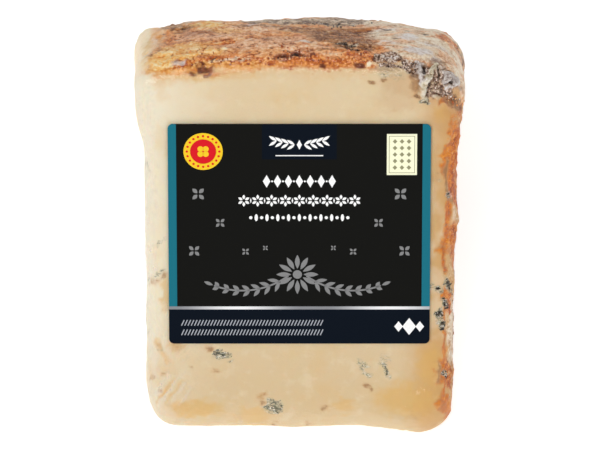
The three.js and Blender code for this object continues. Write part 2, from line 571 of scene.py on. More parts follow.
# The crag is where cut, side rind and end rind meet: a slab, a facet, a blade, a stalk, a knob.
SLAB = ((29.9, 0.6), (30.3, 3.6), (30.6, 6.4))
FACET = ((34.2, 0.2), (33.5, 2.2), (32.8, 4.4))
BLADE = ((32.4, 5.8), (31.4, 8.2), (30.7, 10.2), (31, 12))
STALK = ((34.4, 10.2), (34.7, 12.6))
KNOB = Patch(37.5, 5.2, 2.3, 2.6, turn=20)
RIM = ((39.7, 3), (39.4, 6.2), (38.2, 8.2), (36.8, 8.2))
CRUMB_ARC = ((19.2, -0.8), (19.8, -2.6), (21.8, -3.4), (24.4, -2.8), (26, -1), (27, 0.8), (28.2, 2.8))
CRUMB_ROW = ((20.6, 1.5), (22.8, 1.8), (24.8, 2), (26.6, 2.9), (27.8, 4.4))
UPPER_STREAK = (
    (39.3, 19.6), (38.2, 23.5), (36.9, 28.5), (36.6, 31.5), (37.9, 33.5), (38, 37.2), (37.6, 41.8),
    (37.2, 48.2), (36.4, 51.5), (37, 57.3),
)
LOWER_STREAK = (
    (37, 62.5), (37.4, 66.5), (36.8, 70.5), (37, 75), (37, 83), (37.2, 88), (36.4, 93),
)

CHEESE_MARKS: dict[Tint, tuple[Mark, ...]] = {
    Tint.VEIN: (
        Patch(-19.9, 80.9, 2.5, 1.5, 0.9, 6), Patch(-17.4, 82.7, 1, 0.6, 0.6, -30),
        Patch(-6.9, 95, 2.7, 1.6, 0.9, 5), Patch(16.2, 83.6, 1.8, 1.6, 0.5, 20),
        Patch(17.4, 86.3, 1.4, 0.8, 0.55, 30), Stroke(((21.4, 83.4), (22, 85.2), (23, 87)), 0.6, 0.8),
        Patch(21.6, 82.4, 2.4, 2, 0.3), Stroke(((-39.4, 57.8), (-37, 58.8), (-34.2, 57.4)), 1, 0.42),
        Stroke(((-36, 50.6), (-35, 49.8), (-34, 48.6)), 0.6, 0.5),
        Stroke(((-38.9, 26.6), (-38, 29.8)), 0.5, 0.4), Patch(-38.6, 72.4, 0.7, 0.6, 0.45),
        Patch(-35.4, 79.2, 1.1, 0.8, 0.35), Patch(35.3, 33, 0.9, 0.8, 0.4),
        Patch(37.2, 85.2, 1.2, 1.3, 0.8), Patch(34.8, 62.6, 1.8, 1.1, turn=20), Patch(38, 60.6, 1.2, 1.9),
        Patch(37, 66, 1.2, 1.8, turn=20), Patch(35.6, 69.4, 1.5, 1.2), Patch(36.4, 72, 1.2, 1.6),
        Patch(37.6, 37, 0.9, 0.7, 0.7), Patch(31.6, 12.3, 1.6, 0.7, turn=10),
        Patch(23.6, 5, 5.4, 2.2, 0.35),
    ),
    Tint.BROWN: (
        Patch(-22.8, 79, 1.7, 1, 0.7), Patch(-21, 85.4, 1.5, 1, 0.6), Patch(-9.1, 92, 1.7, 1.2, 0.5),
        Patch(-9.4, 93.8, 0.8, 0.7, 0.7), Patch(17, 89.2, 1.1, 0.9, 0.8), Patch(18.2, 90.4, 0.9, 0.7, 0.8),
        Patch(6.6, 95.2, 1.2, 0.9, 0.7), Patch(-6.4, 98.9, 0.9, 0.6, 0.7), Patch(2, 98.6, 0.8, 0.6, 0.5),
        Patch(-37.7, 85.8, 1, 0.9, 0.6), Patch(-34.7, 86, 1, 0.8, 0.6), Patch(-31, 78.8, 2.4, 1.4, 0.4),
        Patch(-36, 78, 0.8, 1.4, 0.4), Patch(-27.6, 84.4, 0.8, 0.6, 0.5), Patch(-35.7, 90.3, 0.7, 0.6, 0.6),
        Stroke(((-37.8, 60), (-36, 60.4), (-34.2, 58.8)), 1.1, 0.6), Patch(18.2, 7.2, 1.3, 0.9),
        Patch(20.9, 6.6, 1.1, 0.8), Patch(23.9, 14.7, 0.9, 0.7, 0.4),
        Stroke(((37.4, 27.6), (36.8, 31), (37.6, 36.6)), 0.7, 0.8), Patch(34.8, 31.2, 1, 0.6, 0.6),
        Patch(38.4, 37.6, 0.7, 0.9, 0.8), Patch(35.8, 50.8, 1.2, 0.7, 0.5),
        Stroke(((35.4, 83), (35.6, 87.6)), 0.8, 0.7), Stroke(((38.9, 75), (39, 88)), 0.35, 0.35),
        Patch(-33.2, -28, 4.5, 2.6, 0.9, 10), Stroke(((28.2, 3.6), (28.5, 6.2), (29, 9)), 1.2, 0.7),
        Patch(29.4, 10.9, 1, 0.9, 0.9), Patch(37.2, 11, 3.4, 1.5, 0.5, 12),
        Patch(38.8, 10.8, 3, 1.8, 0.95, 10), Patch(38.2, 12.8, 2.4, 1.2, 0.5), Patch(39.6, 12, 1.2, 2, 0.8),
        Patch(22, 3.4, 3, 1.2, 0.45),
    ),
    Tint.GOLD: (
        Patch(11.6, 94.7, 3.4, 2.2, 0.6), Patch(-27, 95.4, 9, 3, 0.8), Patch(-12, 97, 6, 2.4, 0.6),
        Patch(27.5, 93, 9, 5.5, 0.8), Patch(33.5, 84, 4.5, 7, 0.7), Patch(-33.6, 64.5, 1.8, 6.5, 0.7),
        Patch(-34.6, 8, 2.4, 5, 0.4), Patch(-35.2, 22, 1.4, 5, 0.35), Patch(-25, 4.6, 11, 2.2, 0.6),
        Stroke(((-36.6, 76), (-35.4, 79.6), (-33.4, 82.4)), 0.9, 0.7),
        Stroke(((-36.6, 93), (-34, 90.2), (-32, 87.4)), 0.6, 0.8),
        Stroke(((-34.4, 94), (-31.6, 90.6), (-30, 88.2)), 0.5, 0.6), Patch(-31.2, 78.6, 3, 1.8, 0.6),
        Patch(-35, -2.4, 4.6, 5), Patch(-29, -3, 6, 2, 0.8), Patch(-21, -5, 4, 2, 0.6),
        Patch(-38.6, -13, 1.2, 5.5, 0.8, 10), Patch(-39, -14.6, 1.4, 4.2, 0.45),
        Patch(-38, -19, 1.2, 1.8, 0.45), Patch(-29, -8, 8, 4.4, 0.55), Patch(-18, -19, 6, 2.4, 0.4),
        Stroke(((-39.6, -8), (-38.6, -16), (-37, -22)), 0.9, 0.8), Patch(-33, 24, 1.6, 8, 0.35),
        Patch(-23, -23, 5, 2.6, 0.8), Patch(24, 5.4, 4, 1.8, 0.2), Patch(36, 15.5, 3.4, 2.6, 0.8),
        Patch(17.4, 1.2, 1.4, 1, 0.35),
    ),
    Tint.TAN: (
        Patch(25.8, 7.4, 7, 5, 0.7, 15), Patch(25.4, 12, 8, 3.6, 0.5), Patch(29.2, 9.4, 1.8, 4, 0.7, 25),
        Patch(35.5, 17, 5, 4, 0.5), Patch(38.6, 14.6, 2.6, 3.4, 0.8), Patch(37, 49, 2.4, 9, 0.4),
        Patch(33.8, 32.5, 2.6, 1.2, 0.5),
    ),
    Tint.RUST: (
        Patch(-28, -8, 9, 6.5, 0.5), Patch(-18.8, -10.6, 3, 1.8, 0.95, -14),
        Stroke(((-17, -11), (-12, -13.5)), 0.9, 0.8), Patch(-25.4, -5.6, 2.6, 1.8, 0.8, 10),
        Patch(-22.4, -2.8, 1.8, 1.5, 0.8), Patch(-32.5, -6.4, 2.2, 2, 0.6),
        Patch(-34.8, -0.6, 1.6, 2.2, 0.8, 20), Patch(-34.6, -14.2, 1.6, 3, 0.6, 20),
        Patch(-31.8, 2.2, 1.2, 1.6, 0.8), Patch(-26.8, 2, 1.8, 2.4, 0.9), Patch(-21.6, 4.8, 2.4, 1, 0.6),
        Patch(-13.6, 1, 4, 1.2, 0.8), Patch(-10.2, -0.2, 2.2, 1.1), Patch(-4.6, 0.6, 2.2, 1.4),
        Patch(1, 1, 2, 1.2, 0.8), Patch(5, -0.2, 1.8, 2, 0.9), Patch(-3.6, -0.4, 3.4, 1.4, 0.9),
        Patch(1.4, -0.8, 3, 1.2, 0.8), Patch(10.4, 1.2, 3, 1.3, 0.9), Patch(12.8, -2.6, 2.2, 1.6, 0.7),
        Patch(16, -3.4, 2.4, 2.2, 0.8), Patch(-3, -15, 5, 1.4, 0.6), Patch(12, -15, 6, 1, 0.6, 4),
        Patch(37.7, -26.5, 2, 3, 0.9), Patch(37, -17.5, 2.8, 3, 0.85, 10), Patch(20, -6, 2.6, 1.2, 0.5),
        Patch(38.4, -14, 1, 3, 0.5), Patch(38.4, 11.4, 3, 2), Patch(36.4, 11.8, 2.4, 1, 0.7),
        Patch(40.2, 12.4, 1.4, 3, 0.7), Stroke(UPPER_STREAK, 0.95), Patch(38.4, 30.6, 1, 3.8),
        Patch(38, 24.6, 1.6, 3.2, 0.8, 20), Patch(37.6, 28.6, 2.2, 5, 0.9), Patch(39.4, 22, 2, 8, 0.95),
        Patch(39.6, 34, 1.2, 5, 0.7), Patch(39.4, 48, 1.2, 7, 0.6), Patch(37.6, 38, 1.3, 2, 0.8),
        Patch(38.2, 47, 1.1, 3.6, 0.8), Patch(36.6, 51.4, 1.8, 2.6, 0.7), Stroke(LOWER_STREAK, 0.7, 0.9),
        Patch(37.2, 64.4, 1.8, 3.4, 0.9), Patch(37, 84.8, 2.3, 4.2), Patch(36.8, 93, 2.4, 3.4, 0.85),
        Patch(37.8, 67.2, 0.6, 0.9), Patch(-9.3, 91.8, 1.6, 1.2, 0.3),
    ),
    Tint.UMBER: (
        Patch(14, -8.6, 6, 5.4, 0.95), Patch(11, -16, 10.5, 6.5, 0.95), Patch(0, -20, 7, 3.4, 0.8),
        Patch(-29, -22.6, 6, 1.8, 0.9, 6), Patch(-10, -23, 9, 2, 0.7), Patch(-30, -20, 3, 1.2, 0.5),
        Patch(6, -5, 2.4, 1, 0.6), Patch(24, -3.4, 3, 1.4, 0.7, 20),
    ),
    Tint.GREY: (
        Patch(-3, -31, 14, 6, 0.95), Patch(9, -30, 12, 6.5, 0.95), Patch(18, -38, 14, 8, 0.8),
        Patch(-26, -30, 8, 3, 0.5), Patch(-20.6, -0.2, 3.2, 0.9, 0.8, -6), Patch(12, -8.6, 3, 1.2, 0.8, 20),
        Patch(20, -19, 3, 3, 0.4),
    ),
    Tint.BLOOM: (
        Patch(29.7, -6, 8, 5.5, turn=10), Patch(29, -2.6, 5, 1.8, 0.8, 8), Patch(36, -2, 3, 2.4, 0.8),
        Patch(26.5, -15, 9.5, 8), Patch(35.5, -12, 6, 10), Patch(31, -25, 10, 8, 0.95),
        Patch(20, -26, 5, 5, 0.8), Patch(41.4, -7, 4.6, 15), Patch(39.2, 40.6, 1, 2.6, 0.4),
        Patch(39.2, 72, 1.5, 11, 0.65), Patch(17.6, 0.9, 1.3, 1, 0.6),
        Stroke(((-21, 0.2), (-16, -0.6), (-11, -0.2)), 0.9, 0.7), Patch(2, -10, 3.4, 1.6, 0.45),
        Patch(-19, -5.4, 1.2, 1, 0.8),
    ),
    Tint.ROSE: (
        Patch(-9, -9, 9, 3.4, 0.9, -4), Patch(-24, -16, 9, 3.6, 0.7), Patch(-3, -13, 6, 2.6, 0.7),
        Patch(-12, -20, 10, 3, 0.6), Patch(4, -6.4, 5, 1.6, 0.6), Patch(23, -6.6, 4, 1.8, 0.5, 20),
    ),
    # Pale marks: painted highlights on the knob's top and rim, painted reflections of a lamp in the film
    # over the rind's upper right, and real white mould, crystals and nodules elsewhere.
    Tint.FROST: (
        Patch(27.4, -14.4, 3.6, 2.6, 0.6, 10), Patch(30, -6, 4.6, 2.4, 0.75, 14),
        Patch(33.9, -2, 1.3, 1.5, 0.9), Patch(23, -10.4, 4, 1.4, 0.45), Patch(34, -11, 5, 1.6, 0.5, 14),
        Patch(22, -20, 4, 2, 0.4), Patch(-30.4, 0.4, 2.8, 1.4, 0.7, -8), Patch(-27.4, -7.4, 1.2, 0.9, 0.6),
        Patch(-12, -25, 2.4, 1.3, 0.7), Patch(1.4, -10.4, 2, 1, 0.5), Patch(-36.6, -17, 0.9, 3, 0.35),
        Patch(38.2, 36.2, 0.7, 0.7), Patch(36.8, 4.2, 0.9, 1.1, 0.8, 20), Patch(38, 5, 0.7, 0.7, 0.6),
        Stroke(RIM, 0.35, 0.7), Patch(20.9, -1.2, 0.5, 0.5, 0.8), Patch(24.3, -1.2, 0.5, 0.5, 0.8),
    ),
    Tint.CRAG: (
        Stroke(CRUMB_ARC, 1.2), Stroke(CRUMB_ROW, 1.1), Patch(22.6, -1.2, 3.6, 2, 0.9),
        Patch(27.6, 1.6, 1.6, 2.6, turn=20), Patch(29.6, 3.6, 1.7, 4), Patch(31.8, 5, 2.8, 5.4),
        Patch(31.6, 9.6, 1.6, 3.2), Patch(35, 3.6, 3, 5), Patch(34.6, 8.8, 2.4, 2.4),
        Patch(38, 5.2, 2.4, 3.8), Patch(36.8, 9.2, 2.4, 1.5), Patch(34.2, -1.2, 2.6, 1.6, 0.6),
    ),
    Tint.KHAKI: (
        Stroke(BLADE, 1.3, 0.95), Stroke(FACET, 1.1, 0.9), Stroke(STALK, 0.7, 0.9),
        Patch(34.6, 7.6, 0.9, 1.8, 0.45),
    ),
    Tint.LILAC: (
        Stroke(SLAB, 1.5, 0.95), Patch(22.6, -1.5, 2.4, 0.8, 0.5), KNOB, Stroke(RIM, 0.7, 0.7),
        Patch(31.9, 2.4, 0.4, 1.6, 0.5),
    ),
    Tint.PLUM: (
        Patch(-24.6, 2.6, 1.7, 2.8, turn=-12), Patch(-22.4, 3.2, 1.6, 1.6, 0.9),
        Patch(-26.8, 4.6, 1.2, 0.8, 0.7, 20), Patch(-23.6, 5.4, 0.9, 0.8, 0.7),
        Patch(-4.8, 0, 1.8, 0.9, 0.6), Stroke(((-6, -0.6), (-3.2, -1.7), (-0.4, -2.4)), 1.2, 0.9),
        Patch(-2.6, -1.6, 4, 1.8, 0.75, -8), Patch(-25, -18, 6, 1.8, 0.5), Patch(-30, -13, 4, 1.4, 0.35),
        Patch(33.2, 2.6, 0.5, 0.9, 0.8), Patch(38, 11.4, 3.4, 1.8, turn=12), Patch(39.6, 12.2, 1, 1.6, 0.8),
        Patch(2, -1.8, 3.4, 0.7, 0.7, -8), Patch(5.6, 2, 1.1, 1.3), Patch(15.1, 2, 1.2, 1.2),
    ),
    # Dark marks: painted shade in the rind's holes, gash and cracks, in the crag's gaps and under the knob;
    # real dark mould specks on the far rind and in the paste's mould clusters.
    Tint.DARK: (
        Patch(-0.4, -2.3, 2.4, 0.7, 0.8, -8), Patch(-3.6, -1.6, 2.2, 0.6, 0.6),
        Patch(-2.6, -4.6, 0.9, 0.6, 0.8), Patch(10.4, -9.4, 3.2, 1.8, turn=20), Patch(12.6, -7.8, 2, 1.2),
        Patch(13.6, -5.8, 2.2, 0.8, turn=24), Stroke(((36.9, 7.2), (38.3, 6.9)), 0.45, 0.95),
        Stroke(((34.7, 1), (34.9, 3.4), (34.8, 6.2)), 0.35, 0.85),
        Stroke(((35.2, 2.4), (36.6, 0.9), (38.6, 1)), 0.4, 0.8),
        Stroke(((31.4, 1.2), (31.2, 4.6)), 0.5, 0.95), Stroke(((31.2, 6.8), (30, 9.6)), 0.3, 0.6),
        Stroke(((33.3, 6.2), (32.4, 9), (32, 11.2)), 0.35, 0.8), Patch(31.3, 12.6, 1.1, 0.4, 0.95, 8),
        Patch(35.9, 9.8, 0.8, 0.5, 0.8), Stroke(((37.4, 9.9), (39.8, 10.8)), 0.6, 0.7),
        Patch(-24.2, 2.8, 0.8, 1, 0.35), Patch(5.8, -26.4, 2.2, 0.9, 0.9), Patch(9.6, -26.2, 1, 0.6, 0.7),
        Patch(22.4, -19.8, 2, 0.6, 0.8, 8), Patch(27, -18.6, 1.2, 0.5, 0.7),
        Patch(31.6, -17.6, 0.9, 0.7, 0.8), Patch(24, -13.4, 1.4, 0.4, 0.5, 10),
        Stroke(((-34.4, -24), (-31.6, -22.6), (-27.6, -21.6)), 0.6, 0.8),
        Stroke(((-20, -25), (-12, -23), (-2, -24.4)), 0.5, 0.6),
        Stroke(((22.2, 84.6), (22.8, 86.4)), 0.35, 0.8), Patch(35.6, 69.3, 1.4, 1),
        Patch(36.6, 72.2, 1.1, 1.4), Patch(37, 65.8, 0.9, 1.6), Patch(38.2, 60.6, 0.7, 1.5),
        Patch(34.8, 62.5, 1, 0.6), Patch(37.4, 85.4, 0.8, 0.6, 0.8),
    ),
}

# Each mark with how far it stands out of the cheese, or below zero lies in it.
CHEESE_FORMS: tuple[tuple[Mark, float], ...] = (
    (Patch(30, -26, 15, 18), 1.1), (Patch(37.5, -23, 6, 11), 0.4), (Patch(-4, -27, 32, 9), 0.45),
    (Patch(-32, -26, 11, 9), 1), (Patch(36.5, 98, 9, 9), 1.3), (Patch(-23.8, 2.6, 1.8, 1.9), -0.9),
    (Patch(-26.2, 4.2, 1.1, 0.8), -0.4), (Stroke(((-6, -0.8), (-3.2, -1.8), (0.6, -2.2)), 0.8), -1.1),
    (Patch(-2.6, -4.6, 0.9, 0.6), -0.8), (Stroke(((8.4, -10.4), (10.6, -9.2), (12.6, -8.2)), 0.9), -1.1),
    (Stroke(((11.2, -6.8), (13, -6), (14.8, -5)), 0.8), -1.1), (Patch(11.6, -4, 1.6, 0.8, turn=30), 0.6),
    (Patch(-19, -5.4, 0.9, 0.8), 0.6), (Patch(-15, -2.8, 5, 1.6, turn=-6), 0.35),
    (Stroke(((-36, -29), (-32.5, -25.8), (-28, -24.6)), 0.9), -0.8),
    (Stroke(((-24, -8.4), (-19, -9.8), (-15, -12.4)), 0.9), -0.6), (Patch(5.6, 2, 0.9, 1), -0.5),
    (Patch(15.1, 2, 0.9, 0.9), -0.5), (Patch(17.6, 1, 1.2, 0.9), 0.5),
    (Stroke(((19.6, 0.6), (22.4, 0.4), (24.8, 1.2), (26.6, 2.6), (27.8, 4.4)), 0.5), -0.5),
    (Patch(20.6, -1.5, 0.7, 0.6), 0.7), (Patch(24.2, -1.4, 0.7, 0.6), 0.7),
    (Patch(22.4, -3, 2.4, 0.8), 0.4), (Patch(26.2, 3.2, 1, 0.7), 0.4), (Stroke(SLAB, 1.3), 0.8),
    (Stroke(FACET, 0.9), 0.8), (Stroke(BLADE, 1), 0.9), (Stroke(STALK, 0.6), 0.5),
    (Stroke(((31.4, 0.8), (31.2, 4.6)), 0.45), -0.9),
    (Stroke(((33.4, 5.8), (32.5, 8.8), (32.1, 11.4)), 0.4), -0.7),
    (Stroke(((29.2, 4.2), (29.6, 7.8), (29.4, 10.8)), 0.4), -0.5),
    (Stroke(((34.7, 0.8), (34.9, 3.4), (34.8, 6.4)), 0.4), -1),
    (Stroke(((35.2, 2.4), (36.6, 0.9), (38.8, 1)), 0.45), -0.7), (Patch(34, -2, 1.2, 1.3), 0.6),
    (KNOB, 0.9), (Stroke(((36.8, 7.3), (38.4, 7.2)), 0.4), -0.8), (Stroke(RIM, 0.5), 0.5),
    (Stroke(((34.2, 9.8), (35.8, 10.2), (37.6, 9.6)), 0.4), -0.5), (Stroke(UPPER_STREAK, 0.8), -0.3),
    (Patch(39.2, 40.6, 1.4, 3.6), 0.5), (Patch(37, 66, 0.8, 1.2), -0.4), (Patch(35.8, 69.6, 1, 1), -0.5),
    (Patch(-19.8, 80.9, 1.9, 1.1), -0.4), (Patch(-6.9, 95, 2, 1.1), -0.4),
    (Stroke(((21.4, 83.8), (22.6, 86.8)), 0.5), -0.35), (Patch(16.4, 84, 1.5, 1.1, turn=20), -0.2),
)

# Soft pale gleams and wrinkles that the drawn film shows at the cut end: painted reflections, laid on the
# film as a flat pale colour.
FILM_STREAKS: tuple[Stroke, ...] = (
    Stroke(((-38.4, 10), (-38, 26), (-37.4, 42)), 1.6, 0.8), Stroke(((-37.4, 50), (-37.2, 57)), 1.1, 0.9),
    Stroke(((-38.8, 64), (-37.6, 70), (-35, 75.5), (-33, 82)), 1.3, 0.7),
    Stroke(((-38.8, 72), (-37.4, 80), (-36.6, 86)), 1.2, 0.7),
    Stroke(((-38.4, 88), (-34.6, 95), (-30, 98.6)), 1.3, 0.7), Stroke(((-36.8, 91.4), (-33.6, 86.6)), 0.8),
    Stroke(((-34.8, 92.8), (-31.4, 87.2)), 0.75), Stroke(((-32.6, 93.6), (-29.2, 88.6)), 0.65, 0.9),
    Stroke(((-30.6, 94.4), (-27.6, 90.2)), 0.55, 0.8), Stroke(((-34.4, 66), (-32.6, 72)), 0.5, 0.6),
    Stroke(((-15.4, 96.4), (-14.6, 99.4)), 0.7, 0.6),
)


# ----- Meshes and objects -----


def carry(piece: Object, numbers: dict[str, Array]) -> None:
    """Let a piece's mesh carry numbers at its vertices.

    Args:
        piece: The piece.
        numbers: The numbers by name, one for each vertex.
    """
    for name, values in numbers.items():
        attribute = piece.data.attributes.new(name, "FLOAT", "POINT")
        attribute.data.foreach_set("value", values.astype(np.float32))


def fetched(items: bpy.types.bpy_prop_collection, key: str, wide: int, kind: type) -> Array:
    """Read one property of all of a mesh's vertices or edges.

    Args:
        items: The vertices or edges.
        key: The property's name.
        wide: How many numbers it has.
        kind: Their type.

    Returns:
        A row for each item.
    """
    values = np.empty(len(items) * wide, kind)
    items.foreach_get(key, values)
    return values.reshape(-1, wide)


def add_object(name: str, data: bpy.types.ID) -> Object:
    """Make an object and put it in the scene.

    Args:
        name: Its name.
        data: Its mesh, light or camera.

    Returns:
        The object.
    """
    made = bpy.data.objects.new(name, data)
    bpy.context.scene.collection.objects.link(made)
    return made


def add_piece(name: str, mesh: Mesh, finish: Material) -> Object:
    """Make a piece of one finish.

    Args:
        name: Its name.
        mesh: Its shape.
        finish: Its material.

    Returns:
        The piece.
    """
    mesh.materials.clear()
    mesh.materials.append(finish)
    return add_object(name, mesh)


def finished_mesh(name: str, bm: BMesh) -> Mesh:
    """Turn a bmesh into a mesh and free it.

    Args:
        name: The mesh's name.
        bm: The bmesh.

    Returns:
        The mesh.
    """
    mesh = bpy.data.meshes.new(name)
    bm.to_mesh(mesh)
    bm.free()
    return mesh


# ----- The skin that cheese and film share -----


class Skin:
    """The solid's own skin as a fine even mesh, finest where the rind is rough."""

    MERGE_WITHIN = 1e-3
    FLAT_ENOUGH = radians(60)
    ANY_SHAPE = radians(180)

    def __init__(self, node: Object, datum: Datum) -> None:
        """Refine a merged copy of the solid.

        Args:
            node: The solid's object in the frame.
            datum: The tie between drum and frame.
        """
        self.datum = datum
        self.mesh = self._refined(node)
        self.points = fetched(self.mesh.vertices, "co", 3, float)
        self.normals = fetched(self.mesh.vertices, "normal", 3, float)
        self.edges = fetched(self.mesh.edges, "vertices", 2, int)
        self.places = Places.of(self.points, datum)

    def _refined(self, node: Object) -> Mesh:
        """Merge, smooth and subdivide the solid's triangles.

        Args:
            node: The solid's object.

        Returns:
            The mesh, in millimetres.
        """
        bm = bmesh.new()
        bm.from_mesh(node.data)
        bmesh.ops.scale(bm, vec=Vector((1, 1, 1)) / MM, verts=bm.verts)
        bmesh.ops.remove_doubles(bm, verts=bm.verts, dist=self.MERGE_WITHIN)
        bmesh.ops.join_triangles(
            bm,
            faces=bm.faces,
            angle_face_threshold=self.FLAT_ENOUGH,
            angle_shape_threshold=self.ANY_SHAPE,
        )
        rounded = self._subsurf(bm)
        bm.clear()
        bm.from_mesh(rounded)
        bpy.data.meshes.remove(rounded)
        self._divide(bm, lambda p: (p.side < 4.5) | (p.end < 6) | (p.depth < 4))
        self._divide(bm, lambda p: (p.side < 3.6) & (p.depth < 29.5) & (p.x > -39))
        self._divide(bm, self._in_crag)
        for face in bm.faces:
            face.smooth = True
        return finished_mesh("skin", bm)

    @staticmethod
    def _in_crag(places: Places) -> Array:
        """Say which places lie in the crag."""
        near = (places.x > 18) & (places.run > -4) & (places.run < 13) & (places.depth < 7)
        return near & (places.end > -1) & ((places.run < 4) | (places.x > 27.5))

    @staticmethod
    def _subsurf(bm: BMesh) -> Mesh:
        """Round a shape with one level of Subdivision Surface.

        Args:
            bm: The shape.

        Returns:
            The rounded mesh.
        """
        mesh = bpy.data.meshes.new("blank")
        bm.to_mesh(mesh)
        blank = add_object("blank", mesh)
        modifier = blank.modifiers.new("round", "SUBSURF")
        modifier.levels = modifier.render_levels = 1
        graph = bpy.context.evaluated_depsgraph_get()
        rounded = bpy.data.meshes.new_from_object(blank.evaluated_get(graph))
        bpy.data.objects.remove(blank)
        bpy.data.meshes.remove(mesh)
        return rounded

    def _divide(self, bm: BMesh, wanted: Callable[[Places], Array]) -> None:
        """Halve the faces of one zone and round them off.

        Args:
            bm: The mesh.
            wanted: Says which faces, by the places of their centres.
        """
        centres = np.array([face.calc_center_median() for face in bm.faces])
        chosen = wanted(Places.of(centres, self.datum))
        edges = {edge for face, take in zip(bm.faces, chosen) if take for edge in face.edges}
        made = bmesh.ops.subdivide_edges(bm, edges=list(edges), cuts=1, use_grid_fill=True)
        fresh = [item for item in made["geom"] if isinstance(item, BMVert)]
        for _ in range(2):
            bmesh.ops.smooth_vert(
                bm, verts=fresh, factor=0.5, use_axis_x=True, use_axis_y=True, use_axis_z=True
            )

    def spread(self, values: Array, pick: Callable, steps: int) -> Array:
        """Spread values to their neighbours.

        Args:
            values: One value for each vertex.
            pick: np.maximum or np.minimum.
            steps: How many edges far.

        Returns:
            The largest or smallest value within that reach.
        """
        first, second = self.edges.T
        for _ in range(steps):
            spread = values.copy()
            pick.at(spread, first, values[second])
            pick.at(spread, second, values[first])
            values = spread
        return values

    def averaged(self, values: Array, steps: int) -> Array:
        """Average each vertex with its neighbours.

        Args:
            values: One value for each vertex.
            steps: How many times.

        Returns:
            The softened values.
        """
        first, second = self.edges.T
        count = np.bincount(first, minlength=len(values)) + np.bincount(second, minlength=len(values))
        for _ in range(steps):
            total = np.bincount(first, values[second], len(values))
            total += np.bincount(second, values[first], len(values))
            values = (values + total) / (1 + count)
        return values

    def raised(self, name: str, heights: Array, floor: float, finish: Material) -> Object:
        """Make a piece whose surface stands off the skin.

        Args:
            name: The piece's name.
            heights: How far each vertex stands out, in millimetres.
            floor: The lowest that a vertex may lie.
            finish: The piece's material.

        Returns:
            The piece, in the frame's metres.
        """
        moved = self.points + self.normals * heights[:, None]
        moved[:, 2] = np.maximum(moved[:, 2], floor)
        mesh = self.mesh.copy()
        mesh.name = name
        mesh.vertices.foreach_set("co", (moved * MM).ravel())
        mesh.update()
        return add_piece(name, mesh, finish)


# ----- Cheese -----


